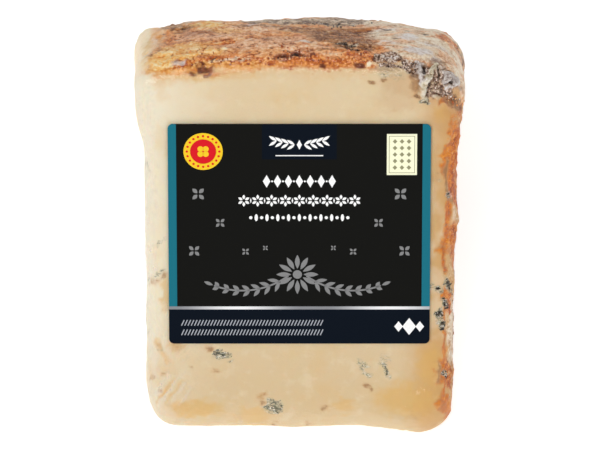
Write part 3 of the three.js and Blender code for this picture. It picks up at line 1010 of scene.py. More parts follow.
@dataclass
class Cheese:
    """The wedge itself: pale paste, its veins, and a rough natural rind on two sides."""

    skin: Skin
    inset: float = 0.2  # room for the film over the cheese
    lift: float = 0.15  # room for the film under it
    crust: float = 3.0  # how thick the rind shows at a cut
    end_crust: float = 1.6
    rough: float = 0.5
    crease: float = 0.4
    grain: float = 0.34
    pit: float = 0.5
    crumb: float = 0.12
    dent: float = 0.5
    crag: float = 0.8
    under_label: float = 0.12
    wobbling: float = 0.8  # how uneven the edges of marks are
    hollow: float = 0.2  # a hollow this deep counts in full

    def __post_init__(self) -> None:
        """Work out the rind's cover and the relief."""
        at, places = self.skin.places.at, self.skin.places
        shifts = [cloud(at, 1.7, seed, 2) for seed in (21.3, 33.9)]
        self.wobble = self.wobbling * np.stack(shifts, 1)
        self.covers = {tint: self.cover(marks) for tint, marks in CHEESE_MARKS.items()}
        self.crust_depth = np.minimum(places.side, places.end + self.crust - self.end_crust)
        self.crust_depth += 0.5 * cloud(at, 2.6, 3.1, 3) + 0.8 * cloud(at, 9.0, 13.7)
        ragged = places.x + 2.0 * cloud(at, 3.0, 8.4, 3) - 3.0 * eased(places.run, -5, -16)
        from_cut_end = eased(ragged, -40.6, -36.4)
        self.rind = eased(self.crust_depth, self.crust + 0.4, self.crust - 0.4) * from_cut_end
        self.rind = np.maximum(self.rind, self.covers[Tint.CRAG])
        relief = self._relief()
        # cavity: how far a vertex lies above or below its neighbours, for painted shade in hollows and
        # painted light on crests
        self.cavity = np.clip((relief - self.skin.averaged(relief, 6)) / self.hollow, -1, 1)
        self.heights = relief - self.inset + self.under_label * self._upper_cut()

    def cover(self, marks: Sequence[Mark]) -> Array:
        """Give how much any of these marks covers each vertex."""
        return np.max([mark.cover(self.skin.places, self.wobble) for mark in marks], axis=0)

    def _upper_cut(self) -> Array:
        """Give where the upper cut lies flat."""
        places = self.skin.places
        return eased(places.depth, 1.5, 0.3) * eased(places.below, 2, 6)

    def _relief(self) -> Array:
        """Work out the rough rind, the crumb and the formed places.

        Returns:
            The height at each vertex.
        """
        places = self.skin.places
        lines = cloud(places.at, (9.0, 1.9, 2.2), 1.3)
        creases = -self.crease * eased(np.abs(lines), 0.14, 0.0)
        grains = self.grain * (cobbles(places.at, 1.25, 4.2) - 0.45)
        holes = -self.pit * eased(cloud(places.at, 1.7, 11.4), 0.42, 0.6)
        band = eased(self.crust_depth, 0.2, 0.9)
        rough = self.rough * cloud(places.at, (5.0, 3.0, 3.2), 7.7, 5)
        on_rind = rough + creases * (1 - band) + grains * (0.4 + 0.6 * band) + holes
        sharp = eased(self.crust_depth, self.crust + 0.6, self.crust - 1.8) * self.rind
        broken = 0.2 - np.abs(cloud(places.at, 1.7, 17.2, 4)) * 1.6
        shaped = 1 - 0.55 * eased(places.x, 28, 31)
        crags = self.crag * broken * self.covers[Tint.CRAG] * shaped
        crumb = self.crumb * cloud(places.at, 2.4, 5.5, 3)
        dents = self.dent * cloud(places.at, (4.0, 9.0, 9.0), 2.9) * eased(places.x, -32, -39)
        formed = sum(height * mark.cover(places, self.wobble) for mark, height in CHEESE_FORMS)
        calm = 1 - 0.6 * self.covers[Tint.BLOOM] - 0.4 * self.covers[Tint.CRAG]
        return (crumb + dents) * (1 - sharp) + on_rind * sharp * calm + crags + formed

    def crumb_room(self) -> Array:
        """Work out how far the film stands off to clear the crumbs that lie on the cheese.

        Returns:
            The room at each vertex.
        """
        room = np.zeros(len(self.heights))
        for kind in CRUMB_KINDS:
            for mark, _ in kind.beds:
                cover = mark.cover(self.skin.places, self.wobble)
                room = np.maximum(room, 0.55 * kind.wide * eased(cover, 0, 0.2))
        return room

    def build(self) -> Object:
        """Make the cheese and paint it.

        Returns:
            The piece.
        """
        finish = CheeseFinish().material()
        piece = self.skin.raised("cheese_body", self.heights, self.lift, finish)
        places = self.skin.places
        measures = {
            "rind": self.rind,
            "crust_depth": self.crust_depth,
            "run": places.run,
            "along": places.x,
            "end_depth": places.end,
            "under_cut": places.depth,
            "cavity": self.cavity,
        }
        carry(piece, measures | {tint.value: cover for tint, cover in self.covers.items()})
        return piece


@dataclass(frozen=True)
class CheeseFinish:
    """Soft paste that light sinks into, and a dry rind that it doesn't.

    Each kind of rind or mould has five tones, from its hollows to its lightest grains; hollows lean to the
    darker tones as painted shade and crests to the lighter ones as painted light.
    """

    paste: tuple = srgb(228, 205, 166)
    # painted shade low on the face, where the light falls off
    falloff_shade: tuple = srgb(220, 193, 150)
    cream: tuple = srgb(241, 228, 201)
    pale: tuple = srgb(242, 234, 212)
    warm: tuple = srgb(252, 230, 194)
    # painted shade for the rind's hollows
    hollow: tuple = srgb(112, 50, 24)
    # painted glints on the rind's grains
    glint_white: tuple = srgb(255, 234, 206)
    ochre: tuple = srgb(212, 164, 102)
    gold: tuple = srgb(224, 178, 98)
    tan: tuple = srgb(196, 146, 96)
    bleed: tuple = srgb(226, 172, 98)
    halo: tuple = srgb(186, 178, 152)
    crystal: tuple = srgb(236, 230, 216)
    stain: tuple = srgb(204, 160, 112)
    # dark mould, and painted shade in holes and gaps
    dark: tuple = srgb(38, 26, 16)
    band: Tones = ((108, 36, 6), (176, 76, 18), (206, 108, 36), (234, 146, 64), (250, 204, 138))
    middle: Tones = ((138, 72, 34), (208, 130, 74), (234, 160, 100), (248, 188, 130), (254, 224, 188))
    rose: Tones = ((134, 76, 50), (210, 146, 104), (236, 176, 132), (248, 200, 160), (255, 232, 206))
    rim: Tones = ((170, 100, 46), (200, 140, 78), (214, 162, 100), (228, 188, 134), (242, 216, 176))
    umber: Tones = ((46, 26, 14), (100, 58, 30), (140, 86, 46), (176, 118, 70), (216, 166, 120))
    far: Tones = ((22, 16, 10), (90, 68, 50), (150, 120, 92), (200, 172, 142), (240, 220, 194))
    bloom: Tones = ((142, 98, 64), (206, 170, 134), (234, 208, 176), (246, 230, 206), (255, 248, 236))
    # white mould, also painted highlights and reflections
    frost: Tones = ((170, 146, 132), (206, 190, 180), (226, 216, 212), (238, 232, 232), (250, 248, 250))
    streak: Tones = ((84, 22, 0), (160, 62, 0), (204, 98, 0), (224, 136, 22), (242, 186, 92))
    fringe: Tones = ((196, 104, 30), (220, 140, 50), (234, 164, 76), (244, 188, 106), (252, 220, 164))
    golden: Tones = ((204, 92, 16), (250, 146, 48), (255, 176, 76), (255, 206, 122), (255, 238, 194))
    crag: Tones = ((40, 24, 18), (104, 76, 58), (158, 128, 106), (204, 178, 156), (244, 228, 216))
    lilac: Tones = ((84, 66, 58), (146, 130, 122), (190, 176, 168), (216, 206, 200), (246, 242, 240))
    plum: Tones = ((58, 18, 8), (102, 42, 24), (138, 66, 38), (170, 96, 62), (206, 148, 116))
    khaki: Tones = ((96, 76, 52), (166, 148, 116), (200, 184, 152), (220, 208, 182), (244, 238, 222))
    vein: Tones = ((54, 52, 42), (90, 88, 70), (122, 118, 96), (156, 150, 124), (200, 192, 164))
    brown: Tones = ((74, 42, 22), (112, 74, 40), (138, 94, 56), (162, 118, 76), (190, 150, 108))

    def material(self) -> Material:
        """Build the material.

        Returns:
            The material.
        """
        graph = Graph(bpy.data.materials.new("paste_and_rind"))
        painter = CheesePainter(graph, self)
        place = painter.place
        paste = graph.out(
            "ShaderNodeBsdfPrincipled",
            {"subsurface_method": "RANDOM_WALK"},
            {
                "Base Color": painter.paste(),
                "Roughness": 0.55,
                "Subsurface Weight": 0.3,
                "Subsurface Radius": (2.2, 1.1, 0.5),
                "Subsurface Scale": MM,
                "Specular IOR Level": 0.3,
                "Normal": graph.bump(graph.mottle(place, 0.7, 4, 0.6), 0.1),
            },
        )
        inputs = {
            "Base Color": painter.rind(),
            "Roughness": 0.6,
            "Specular IOR Level": 0.3,
            "Normal": graph.bump(graph.mottle(place, 0.5, 4, 0.7), 0.22),
        }
        both = {0: graph.attribute("rind"), 1: paste, 2: graph.coat(inputs)}
        return graph.surface(graph.out("ShaderNodeMixShader", None, both))


class CheesePainter:
    """Lays the cheese's colours over one another, once for the paste and once for the rind.

    A wash sets in between two values of what it follows: millimetres along, over or under the
    skin, the cover of a mark, or the height of a mottled pattern.
    """

    def __init__(self, graph: Graph, finish: CheeseFinish) -> None:
        """Read what the mesh carries and make the grain.

        Args:
            graph: The material's graph.
            finish: The colours.
        """
        self.graph = graph
        self.finish = finish
        self.place = graph.place()
        self.run = graph.attribute("run")
        self.along = graph.attribute("along")
        self.end = graph.attribute("end_depth")
        self.depth = graph.attribute("under_cut")
        self.crust = graph.attribute("crust_depth")
        self.cavity = graph.attribute("cavity")
        self.colour: Socket | tuple = finish.paste
        self.tone = self._grain()

    def _grain(self) -> Signal:
        """Make the grain that picks a tone, drawn out along the axis.

        Returns:
            The tone, low in hollows and high on crests, as painted shade and painted light.
        """
        graph, place = self.graph, self.place
        grit = graph.mottle(place, 0.7, 4, 0.7)
        streaks = graph.mottle(graph.stretched(place, (0.42, 1.0, 1.0)), 1.1, 4, 0.65)
        lumps = graph.mottle(place, 3.2, 3, 0.6)
        spots = {"Vector": place, "Scale": 1 / 0.62}
        each = graph.out("ShaderNodeTexVoronoi", {"feature": "F1"}, spots, "Position")
        crumbs = graph.signal("ShaderNodeTexWhiteNoise", None, {"Vector": each})
        grain = grit * 0.35 + streaks * 0.4 + lumps * 0.25
        # the cavity term paints shade into hollows and light onto crests
        return (grain - 0.5) * 2.9 + crumbs * 0.24 + 0.4 + self.cavity * 0.16

    def _cover(self, tint: Tint) -> Signal:
        """Give how much a tint's marks cover."""
        return self.graph.attribute(tint.value)

    def _frayed(self, value: Signal, much: float) -> Signal:
        """Fray a measure with the grain, so that what it bounds has a ragged edge."""
        return value + (self.tone - 0.5) * much

    def _wash(self, over: Socket | tuple, factor: Signal) -> None:
        """Lay a colour over what is there."""
        self.colour = self.graph.blend(self.colour, over, factor)

    def _grained(self, tones: Tones, factor: Signal, tone: Signal | None = None) -> None:
        """Lay five tones, picked by the grain or by the tone that is given."""
        self._wash(self.graph.tones(self.tone if tone is None else tone, tones), factor)

    def _marked(self, tint: Tint, tones: Tones, much: float, tone: Signal | None = None) -> None:
        """Lay one tint's marks, with edges as ragged as the grain.

        Args:
            tint: Whose marks they are.
            tones: Their five tones.
            much: How opaque they are.
            tone: What picks the tone, or None for the grain.
        """
        picked = self.tone if tone is None else tone
        ragged = (self._cover(tint) + (picked - 0.5) * 0.45).rise(0.12, 0.75)
        self._grained(tones, ragged * much, picked)

    def paste(self) -> Socket:
        """Colour the paste, with its veins and spots.

        Returns:
            The colour.
        """
        finish = self.finish
        self.colour = finish.paste
        self._shade_paste()
        self._bleed()
        calm = (self.tone - 0.5) * 0.45 + 0.55
        self._marked(Tint.LILAC, finish.lilac, 0.8)
        self._marked(Tint.PLUM, finish.plum, 0.9, self.tone * 0.8 + 0.06)
        self._marked(Tint.BLOOM, finish.bloom, 0.85, calm)
        # pale marks: white mould, and painted highlights and reflections
        self._marked(Tint.FROST, finish.frost, 0.85, calm)
        self._spot()
        self._vein()
        return self.colour

    def _shade_paste(self) -> None:
        """Paste colour: painted shade low down, partly painted light at the cut end, ochre by the end rind.
        """
        finish, run, end = self.finish, self.run, self.end
        broad = self.graph.mottle(self.place, 13, 3)
        small = self.graph.mottle(self.place, 4, 4)
        soft = (small - 0.5) * 0.35
        low = run.rise(66, 92)
        blotch = broad.rise(0.45, 0.62) * end.rise(12, 4)
        for colour, factor in (
            # painted shade low on the face, where the light falls off
            (finish.falloff_shade, low * 0.8),
            # paler towards the cut end: partly painted light falling from the left
            (finish.cream, end.rise(56, 78) * (0.8 - low * 0.45)),
            (finish.pale, end.rise(71, 79) * (0.6 - low * 0.15)),
            (finish.warm, run.rise(7, -3) * end.rise(60, 74)),
            (finish.cream, small.rise(0.5, 0.75) * 0.3),
            (finish.gold, broad.rise(0.5, 0.75) * 0.25),
            (finish.ochre, (end + broad * 6).rise(18, 7) * 0.9),
            (finish.cream, blotch * run.rise(14, 40) * 0.4),
            (finish.gold, (self._cover(Tint.GOLD) + soft).rise(0.0, 1.1) * 0.8),
            (finish.tan, (self._cover(Tint.TAN) + soft).rise(0.0, 1.1) * 0.6),
        ):
            self._wash(colour, factor)

    def _bleed(self) -> None:
        """Let the rind's orange bleed into the paste beside it, and draw the rusty streaks."""
        finish, along = self.finish, self.along
        near = self.run.rise(18, 9) * along.rise(-38.5, -34.5) * along.rise(20, 16)
        calm = (self.tone - 0.5) * 0.6 + 0.55
        pale = along.rise(-2, -18)
        crust = self._frayed(self.crust, 2.4)
        reach = crust.rise(7.2, 3.2) * near
        fringe = crust.rise(4.4, 2.8) * near
        self._wash(finish.bleed, reach * (pale * 0.35 + 0.35))
        self._grained(finish.band, fringe * 0.85, calm)
        self._grained(finish.fringe, fringe * pale * 0.85, calm)
        rust = self._cover(Tint.RUST)
        halo = self._frayed(rust, 0.3).rise(-0.1, 0.7) * rust.rise(0.0, 0.08)
        self._wash(finish.ochre, halo * 0.75)
        streaked = self._frayed(rust, 0.8).rise(0.15, 1.05)
        self._grained(finish.streak, streaked * 0.92, calm - 0.04)

    def _spot(self) -> None:
        """Lay soft brown smudges with a darker core over the paste."""
        cover = self._cover(Tint.BROWN)
        core = self._frayed(cover, 0.8).rise(0.38, 0.95)
        self._wash(self.finish.stain, cover.rise(0.0, 0.8) * 0.7)
        self._grained(self.finish.brown, core * 0.8)

    def _vein(self) -> None:
        """Lay the mould's tangled grey-green threads and pale crystals over the paste."""
        graph, finish = self.graph, self.finish
        cover = self._cover(Tint.VEIN).larger(self._hidden_veins())
        grains = graph.stretched(self.place, (0.7, 1.1, 1.1))
        strands = graph.stretched(self.place, (0.6, 1.1, 1.1))
        crystals = graph.mottle(grains, 0.8, 2, 0.5).rise(0.53, 0.62)
        tangle = abs(graph.mottle(strands, 1.15, 3, 0.6, 0.9) - 0.5)
        threads = (cover * 0.085 - tangle).rise(-0.012, 0.03)
        # the dark marks: painted shade in holes and gaps, real dark mould elsewhere
        dark = self._frayed(self._cover(Tint.DARK), -0.9).rise(0.3, 0.95)
        self._wash(finish.halo, cover.rise(0.05, 0.75) * 0.6)
        self._wash(finish.crystal, crystals * cover.rise(0.15, 0.6) * 0.8)
        self._grained(finish.vein, threads * cover.rise(0.1, 0.4))
        self._wash(finish.dark, dark * 0.75)

    def _hidden_veins(self) -> Signal:
        """Draw thin branching veins on the cuts away from the upper one.

        Returns:
            How much they cover.
        """
        graph, place = self.graph, self.place
        drift = graph.mottle(place, 9, 3)
        waves = {"Vector": place, "Scale": 0.16, "Detail": 4.0}
        shift = graph.out("ShaderNodeTexNoise", None, waves, "Color")
        far_off = {0: shift, 1: (18.0, 18.0, 18.0), 2: place}
        bent = graph.out("ShaderNodeVectorMath", {"operation": "MULTIPLY_ADD"}, far_off)
        cells = {"Vector": bent, "Scale": 1 / 15, "Randomness": 1.0}
        lines = graph.signal("ShaderNodeTexVoronoi", {"feature": "DISTANCE_TO_EDGE"}, cells)
        clumps = graph.mottle(place, 3.5, 4, 0.6).rise(0.56, 0.68) * lines.rise(0.3, 0.1)
        clumps = clumps * drift.rise(0.46, 0.6)
        veined = (lines.rise(0.1, 0.0) * drift.rise(0.42, 0.56)).larger(clumps)
        return veined * self.depth.rise(9, 14) * self.crust.rise(6, 9)

    def rind(self) -> Socket:
        """Colour the rind from its crumbly inner edge to its weathered outside.

        Returns:
            The colour.
        """
        shoulder = self._shoulder()
        self._ground_rind()
        self._mark_rind()
        self._edge_rind(shoulder)
        self._fleck_rind(shoulder)
        return self.colour

    def _ground_rind(self) -> None:
        """Lay the weathered outside, more varied where the upper cut is far, and its orange edge."""
        finish, run, along = self.finish, self.run, self.along
        drawn_out = self.graph.stretched(self.place, (0.5, 1.0, 1.0))
        broad = self.graph.mottle(drawn_out, 5.5, 4, 0.6, 0.5)
        other = self.graph.mottle(drawn_out, 8.0, 4, 0.6, 0.5)
        tone = self.tone + (other - 0.5) * 0.9
        hidden = run.rise(-34, -46).larger(self.end.rise(5, 2) * self.depth.rise(7, 13))
        self.colour = self.graph.tones(tone, finish.middle)
        for tones, factor in (
            (finish.rose, broad.rise(0.52, 0.63) * 0.75),
            (finish.band, other.rise(0.53, 0.64) * 0.75),
            (finish.umber, broad.rise(0.43, 0.35) * 0.6),
            (finish.umber, hidden * broad.rise(0.47, 0.57)),
            (finish.far, hidden * other.rise(0.44, 0.54)),
            (finish.bloom, hidden * broad.rise(0.45, 0.36) * 0.7),
        ):
            self._grained(tones, factor, tone)
        beside_cut = run.rise(11, 16) * self.depth.rise(8, 4)
        self._grained(finish.rim, beside_cut, tone * 0.6 + 0.22)
        by_crag = along.rise(17, 20) * along.rise(34, 30) * run.rise(-0.5, 1.0)
        self._wash(finish.paste, by_crag * 0.9)
        inner = self._frayed(self.crust, 1.8).rise(0.6, 1.5) * run.rise(15, 9)
        self._grained(finish.band, inner * along.rise(21, 17))

    def _mark_rind(self) -> None:
        """Lay the rind's moulds, streaks and crag."""
        finish, tone = self.finish, self.tone
        calm = tone * 0.75 + 0.13
        # lighter tones on crests and darker in hollows: painted light and shade
        lit_and_shaded_tone = tone * 0.7 + self.cavity * 0.2 + 0.15
        streaked = self._cover(Tint.RUST).rise(0.1, 0.6) * self.run.rise(14, 18)
        self._marked(Tint.UMBER, finish.umber, 0.9)
        self._marked(Tint.GREY, finish.far, 0.95)
        self._marked(Tint.ROSE, finish.rose, 0.8)
        self._marked(Tint.BLOOM, finish.bloom, 0.95, calm)
        self._weather_bloom()
        self._marked(Tint.RUST, finish.band, 0.85)
        # pale marks: white mould, and painted highlights and reflections
        self._marked(Tint.FROST, finish.frost, 0.8, calm)
        self._grained(finish.streak, streaked * 0.85, tone * 0.6 + 0.2)
        self._marked(Tint.PLUM, finish.plum, 0.9, tone * 0.8 + 0.06)
        self._marked(Tint.CRAG, finish.crag, 0.97, lit_and_shaded_tone)
        self._marked(Tint.KHAKI, finish.khaki, 0.9, lit_and_shaded_tone)
        self._marked(Tint.LILAC, finish.lilac, 0.9, lit_and_shaded_tone)
        self._marked(Tint.VEIN, finish.vein, 0.7, lit_and_shaded_tone)
        self._marked(Tint.BROWN, finish.brown, 0.8, lit_and_shaded_tone)

    def _weather_bloom(self) -> None:
        """Let tan streaks and white smears show in the pale bloom."""
        drawn_out = self.graph.stretched(self.place, (0.42, 1.0, 1.0), (0, 0, 0.16))
        veil = self.graph.mottle(drawn_out, 3.8, 4, 0.55, 0.6)
        bloom = self._cover(Tint.BLOOM)
        self._grained(self.finish.middle, veil.rise(0.52, 0.62) * bloom * 0.6)
        self._grained(self.finish.bloom, veil.rise(0.5, 0.38) * bloom * 0.7, self.tone * 0.5 + 0.42)

    def _shoulder(self) -> Signal:
        """Give where the rind runs out at the cut end."""
        patchy = self.graph.mottle(self.place, 2.4, 4, 0.6) - 0.5
        return (self.along + self.run.rise(-5, -16) * -3.0 + patchy * 9).rise(-36.0, -40.0)

    def _edge_rind(self, shoulder: Signal) -> None:
        """Warm the shoulder, and lay the fringe beside the paste and the golden patches.

        Args:
            shoulder: Where the rind runs out.
        """
        finish, along = self.finish, self.along
        edge = self._frayed(self.crust, 2.0).rise(1.6, 2.6) * self.run.rise(15, 9)
        edge = edge * along.rise(20, 16) * (along.rise(-2, -18) * 0.6 + 0.15)
        golden = self._frayed(self._cover(Tint.GOLD), 0.3).rise(0.05, 0.8)
        self._wash(finish.warm, shoulder * 0.85)
        self._grained(finish.fringe, edge)
        self._grained(finish.golden, golden * 0.9, self.tone * 0.7 + 0.27)

    def _fleck_rind(self, shoulder: Signal) -> None:
        """Lay pale dots as painted glints, dark mould flecks, painted shade in the hollows, and the dark
        marks.

        Args:
            shoulder: Where the rind runs out.
        """
        graph, place, finish = self.graph, self.place, self.finish
        # painted glints: tiny pale dots over the near rind
        painted_glints = graph.mottle(place, 0.42, 1, 0.5).rise(0.66, 0.74) * self.run.rise(-26, -8)
        flecks = graph.mottle(place, 0.8, 2, 0.5).rise(0.62, 0.7)
        moulds = (self._cover(Tint.GREY) + self._cover(Tint.UMBER) * 0.6).smaller(1.0)
        # painted shade in the rind's hollows
        hollows = self._frayed(self.cavity, 0.5).rise(-0.45, -1.1)
        # the dark marks: painted shade in holes and gaps, real dark mould elsewhere
        dark = self._frayed(self._cover(Tint.DARK), -1.1).rise(0.25, 0.95)
        self._wash(finish.glint_white, painted_glints * 0.6)
        self._wash(finish.dark, flecks * (moulds * 0.8 + 0.12) * (1 - shoulder))
        self._wash(finish.hollow, hollows * 0.6)
        self._wash(finish.dark, dark * 0.9)


# ----- Crumbs -----


@dataclass(frozen=True)
class CrumbKind:
    """One kind of crumb: where it lies and how many, how wide it is, and its five tones."""

    name: str
    beds: tuple[tuple[Mark, int], ...]
    narrow: float
    wide: float
    tones: Tones

    def material(self) -> Material:
        """Build the material, which picks each crumb's tone by the number it carries.

        Returns:
            The material.
        """
        graph = Graph(bpy.data.materials.new(self.name))
        place = graph.place()
        tone = graph.attribute("crumb_tone") + (graph.mottle(place, 0.3, 3, 0.6) - 0.5) * 0.8
        inputs = {
            "Base Color": graph.tones(tone, self.tones, CRUMB_STOPS),
            "Roughness": 0.55,
            "Specular IOR Level": 0.22,
            "Normal": graph.bump(graph.mottle(place, 0.25, 2), 0.06),
        }
        return graph.surface(graph.coat(inputs))


CRUMB_KINDS: tuple[CrumbKind, ...] = (
    CrumbKind(
        "crag_crumbs",
        (
            (Stroke(CRUMB_ARC, 0.8), 100), (Stroke(CRUMB_ROW, 0.6), 110),
            (Patch(27.6, 1.4, 1.2, 2, turn=20), 60), (Patch(34.5, 7.4, 1.2, 2.2), 120),
            (Patch(36.4, 9.4, 2.2, 1), 110), (Patch(37.8, 10.4, 2.8, 1), 26),
            (Stroke(((28.6, 1), (28.8, 4.6)), 0.8), 50), (Stroke(((32, 1.6), (32.2, 4.6)), 0.5), 30),
            (Stroke(((33.2, 6.4), (32.6, 10.6)), 0.5), 40),
        ),
        0.25,
        0.7,
        ((54, 34, 24), (118, 84, 62), (168, 134, 110), (212, 182, 160), (250, 236, 226)),
    ),
    CrumbKind(
        "rind_crumbs",
        (
            (Stroke(((-20, -0.6), (-6, -0.8), (6, -0.4), (17, -0.6)), 1.4), 130),
            (Stroke(((-4, -3.6), (8, -4.4), (17, -3)), 2), 80), (Patch(-18.8, -10.6, 3, 1.8), 16),
            (Patch(-25, -4.4, 4, 2.4), 24), (Patch(38.4, 11.4, 2.4, 1.4), 16),
        ),
        0.3,
        0.8,
        ((120, 50, 20), (186, 90, 34), (218, 128, 58), (236, 162, 94), (248, 208, 160)),
    ),
    CrumbKind(
        "mould_crumbs",
        (
            (Patch(38.2, 60.2, 1, 1.8), 40), (Patch(37, 66.2, 0.8, 2.2), 44),
            (Patch(35.7, 69.4, 1.5, 0.9), 36), (Patch(36.5, 72.2, 1, 1.4), 40),
            (Patch(35.2, 62.6, 0.9, 0.7), 9), (Patch(37.2, 85.2, 1.1, 1.3), 40),
            (Patch(37.8, 36.8, 0.8, 0.8), 20), (Patch(9, -25, 9, 3.6), 40),
            (Stroke(((9, -9.8), (12.4, -8.2)), 0.9), 30),
        ),
        0.25,
        0.7,
        ((14, 11, 9), (28, 23, 18), (54, 46, 36), (112, 98, 80), (228, 220, 206)),
    ),
)


@dataclass
class Crumbs:
    """Small loose lumps of one kind where rind, crag and mould crumble."""

    skin: Skin
    cheese: Cheese
    kind: CrumbKind
    seed: int = 5
    proud: float = 0.12  # how much of its width a crumb's middle stands above the cheese
    mostly_small: float = 1.6
    uneven: tuple[float, float] = (0.75, 1.15)
    flattest: float = 0.6

    def build(self) -> Object:
        """Scatter the crumbs.

        Returns:
            The piece, in the frame's metres.
        """
        draw = np.random.default_rng(self.seed)
        corners, faces = self._lump()
        spots = self._spots(draw)
        count = len(spots)
        width = self.kind.narrow + (self.kind.wide - self.kind.narrow) * (
            draw.random(count) ** self.mostly_small
        )
        turns = np.linalg.qr(draw.normal(size=(count, 3, 3)))[0]
        turns *= np.sign(np.linalg.det(turns))[:, None, None]
        shapes = corners * draw.uniform(*self.uneven, (count, len(corners), 1))
        shapes = shapes * (draw.uniform(self.flattest, 1.0, (count, 1, 3)) * width[:, None, None])
        heights = self.cheese.heights[spots] + self.proud * width
        middles = self.skin.points[spots] + self.skin.normals[spots] * heights[:, None]
        points = middles[:, None] + np.einsum("nij,nvj->nvi", turns, shapes)
        steps = np.arange(count)[:, None, None] * len(corners)
        mesh = bpy.data.meshes.new(self.kind.name)
        mesh.from_pydata((points * MM).reshape(-1, 3), [], (faces + steps).reshape(-1, 3).tolist())
        piece = add_piece(self.kind.name, mesh, self.kind.material())
        carry(piece, {"crumb_tone": draw.uniform(0.05, 0.95, count).repeat(len(corners))})
        return piece

    @staticmethod
    def _lump() -> tuple[Array, Array]:
        """Shape a ball one millimetre across.

        Returns:
            Its corners and triangles.
        """
        bm = bmesh.new()
        bmesh.ops.create_icosphere(bm, subdivisions=2, radius=0.5)
        bm.verts.index_update()
        corners = np.array([vert.co for vert in bm.verts])
        faces = np.array([[vert.index for vert in face.verts] for face in bm.faces])
        bm.free()
        return corners, faces

    def _spots(self, draw: np.random.Generator) -> Array:
        """Draw the places of the crumbs.

        Args:
            draw: The random draws.

        Returns:
            The skin's vertices that carry a crumb.
        """
        spots = []
        for mark, count in self.kind.beds:
            cover = mark.cover(self.skin.places, self.cheese.wobble) ** 2
            spots.append(draw.choice(len(cover), count, p=cover / cover.sum()))
        return np.concatenate(spots)


# ----- Film -----


@dataclass
class Film:
    """The clear film, drawn tight on the cheese and wrinkled at its corners."""

    skin: Skin
    cheese: Cheese
    cling: float = 0.1  # how close it lies on the cheese
    bridge: int = 2  # how many vertices far it spans a hollow
    fold: float = 0.28
    ripple: float = 0.05
    under_label: float = 0.22

    def build(self) -> Object:
        """Draw the film over the cheese.

        Returns:
            The piece.
        """
        skin, places = self.skin, self.skin.places
        drawn = skin.spread(self.cheese.heights, np.maximum, self.bridge)
        drawn = skin.spread(drawn, np.minimum, self.bridge)
        drawn = np.maximum(skin.averaged(drawn, 1), self.cheese.heights) + self.cling
        drawn += skin.averaged(self.cheese.crumb_room(), 2)
        folds = self._folds()
        ripples = self.ripple * (1 + cloud(places.at, 5.0, 41.0))
        flat = eased(places.depth, 2.0, 0.8) * eased(places.below, 9, 15)
        under = flat * eased(np.abs(places.x), 37, 34) * eased(places.below, 84, 80)
        heights = drawn + (self.fold * folds + ripples) * (1 - under)
        heights = heights * (1 - under) + np.maximum(drawn, self.under_label) * under
        piece = skin.raised("clear_film", heights, 0.0, FilmFinish().material())
        carry(piece, {"fold": folds, "sheen": self.cheese.cover(FILM_STREAKS)})
        return piece

    def _folds(self) -> Array:
        """Work out the sharp little folds of drawn film.

        Returns:
            1 on a fold's crest, at each vertex.
        """
        places = self.skin.places
        slanted = np.stack([places.x + 0.9 * places.below, places.x - places.below, places.depth], 1)
        fan = eased(np.abs(cloud(slanted, (2.6, 26, 12), 2.2)), 0.09, 0.0)
        low_left = eased(places.x, -22, -30) * eased(places.below, 60, 74)
        upright = eased(np.abs(cloud(places.at, (2.4, 30, 30), 6.2)), 0.1, 0.0)
        hoops = eased(np.abs(cloud(places.at, (16, 2.4, 9), 9.1)), 0.07, 0.0)
        at_ends = eased(-places.x, 34.5, 38) + 0.12 * eased(places.x, 36, 39)
        at_ends = at_ends * (0.25 + 0.75 * eased(places.below, 40, 62))
        return np.maximum.reduce([fan * low_left, upright * at_ends, hoops * at_ends * 0.7])


@dataclass(frozen=True)
class FilmFinish:
    """Clear glossy film: seen through, brighter at a glance, whitish on its folds in part as painted
    highlight, and pale along its streaks as painted reflections.
    """

    roughness: float = 0.09
    normal_gloss: float = 0.024
    grazing_gloss: float = 0.05
    pale_white: tuple = srgb(252, 248, 238)
    # the folds' whitish veil, in part a painted highlight
    fold_paleness: float = 0.07
    # painted reflections along the film's streaks
    streak_gleam: float = 0.28

    def material(self) -> Material:
        """Build the material.

        Returns:
            The material.
        """
        graph = Graph(bpy.data.materials.new("clear_film"))
        place = graph.place()
        normal = graph.bump(graph.mottle(place, 2.2, 3), 0.16)
        facing = {"Blend": 0.5, "Normal": normal}
        glance = graph.signal("ShaderNodeLayerWeight", None, facing, "Facing")
        shine = glance**4 * (self.grazing_gloss - self.normal_gloss) + self.normal_gloss
        # painted reflections along the streaks
        gleam = graph.attribute("sheen") * (graph.mottle(place, 3.0, 3) * 0.7 + 0.65)
        paleness = (graph.attribute("fold") * self.fold_paleness).larger(gleam * self.streak_gleam)
        polish = {"Roughness": self.roughness, "Normal": normal}
        gloss = graph.out("ShaderNodeBsdfGlossy", None, polish)
        clear = graph.out("ShaderNodeBsdfTransparent", None, {"Color": (1, 1, 1, 1)})
        # flat pale colour for the folds and the painted reflections
        pale_white = graph.out("ShaderNodeBsdfDiffuse", None, {"Color": self.pale_white, "Roughness": 0.5})
        base = graph.out("ShaderNodeMixShader", None, {0: paleness, 1: clear, 2: pale_white})
        return graph.surface(graph.out("ShaderNodeMixShader", None, {0: shine, 1: base, 2: gloss}))


# ----- Label -----


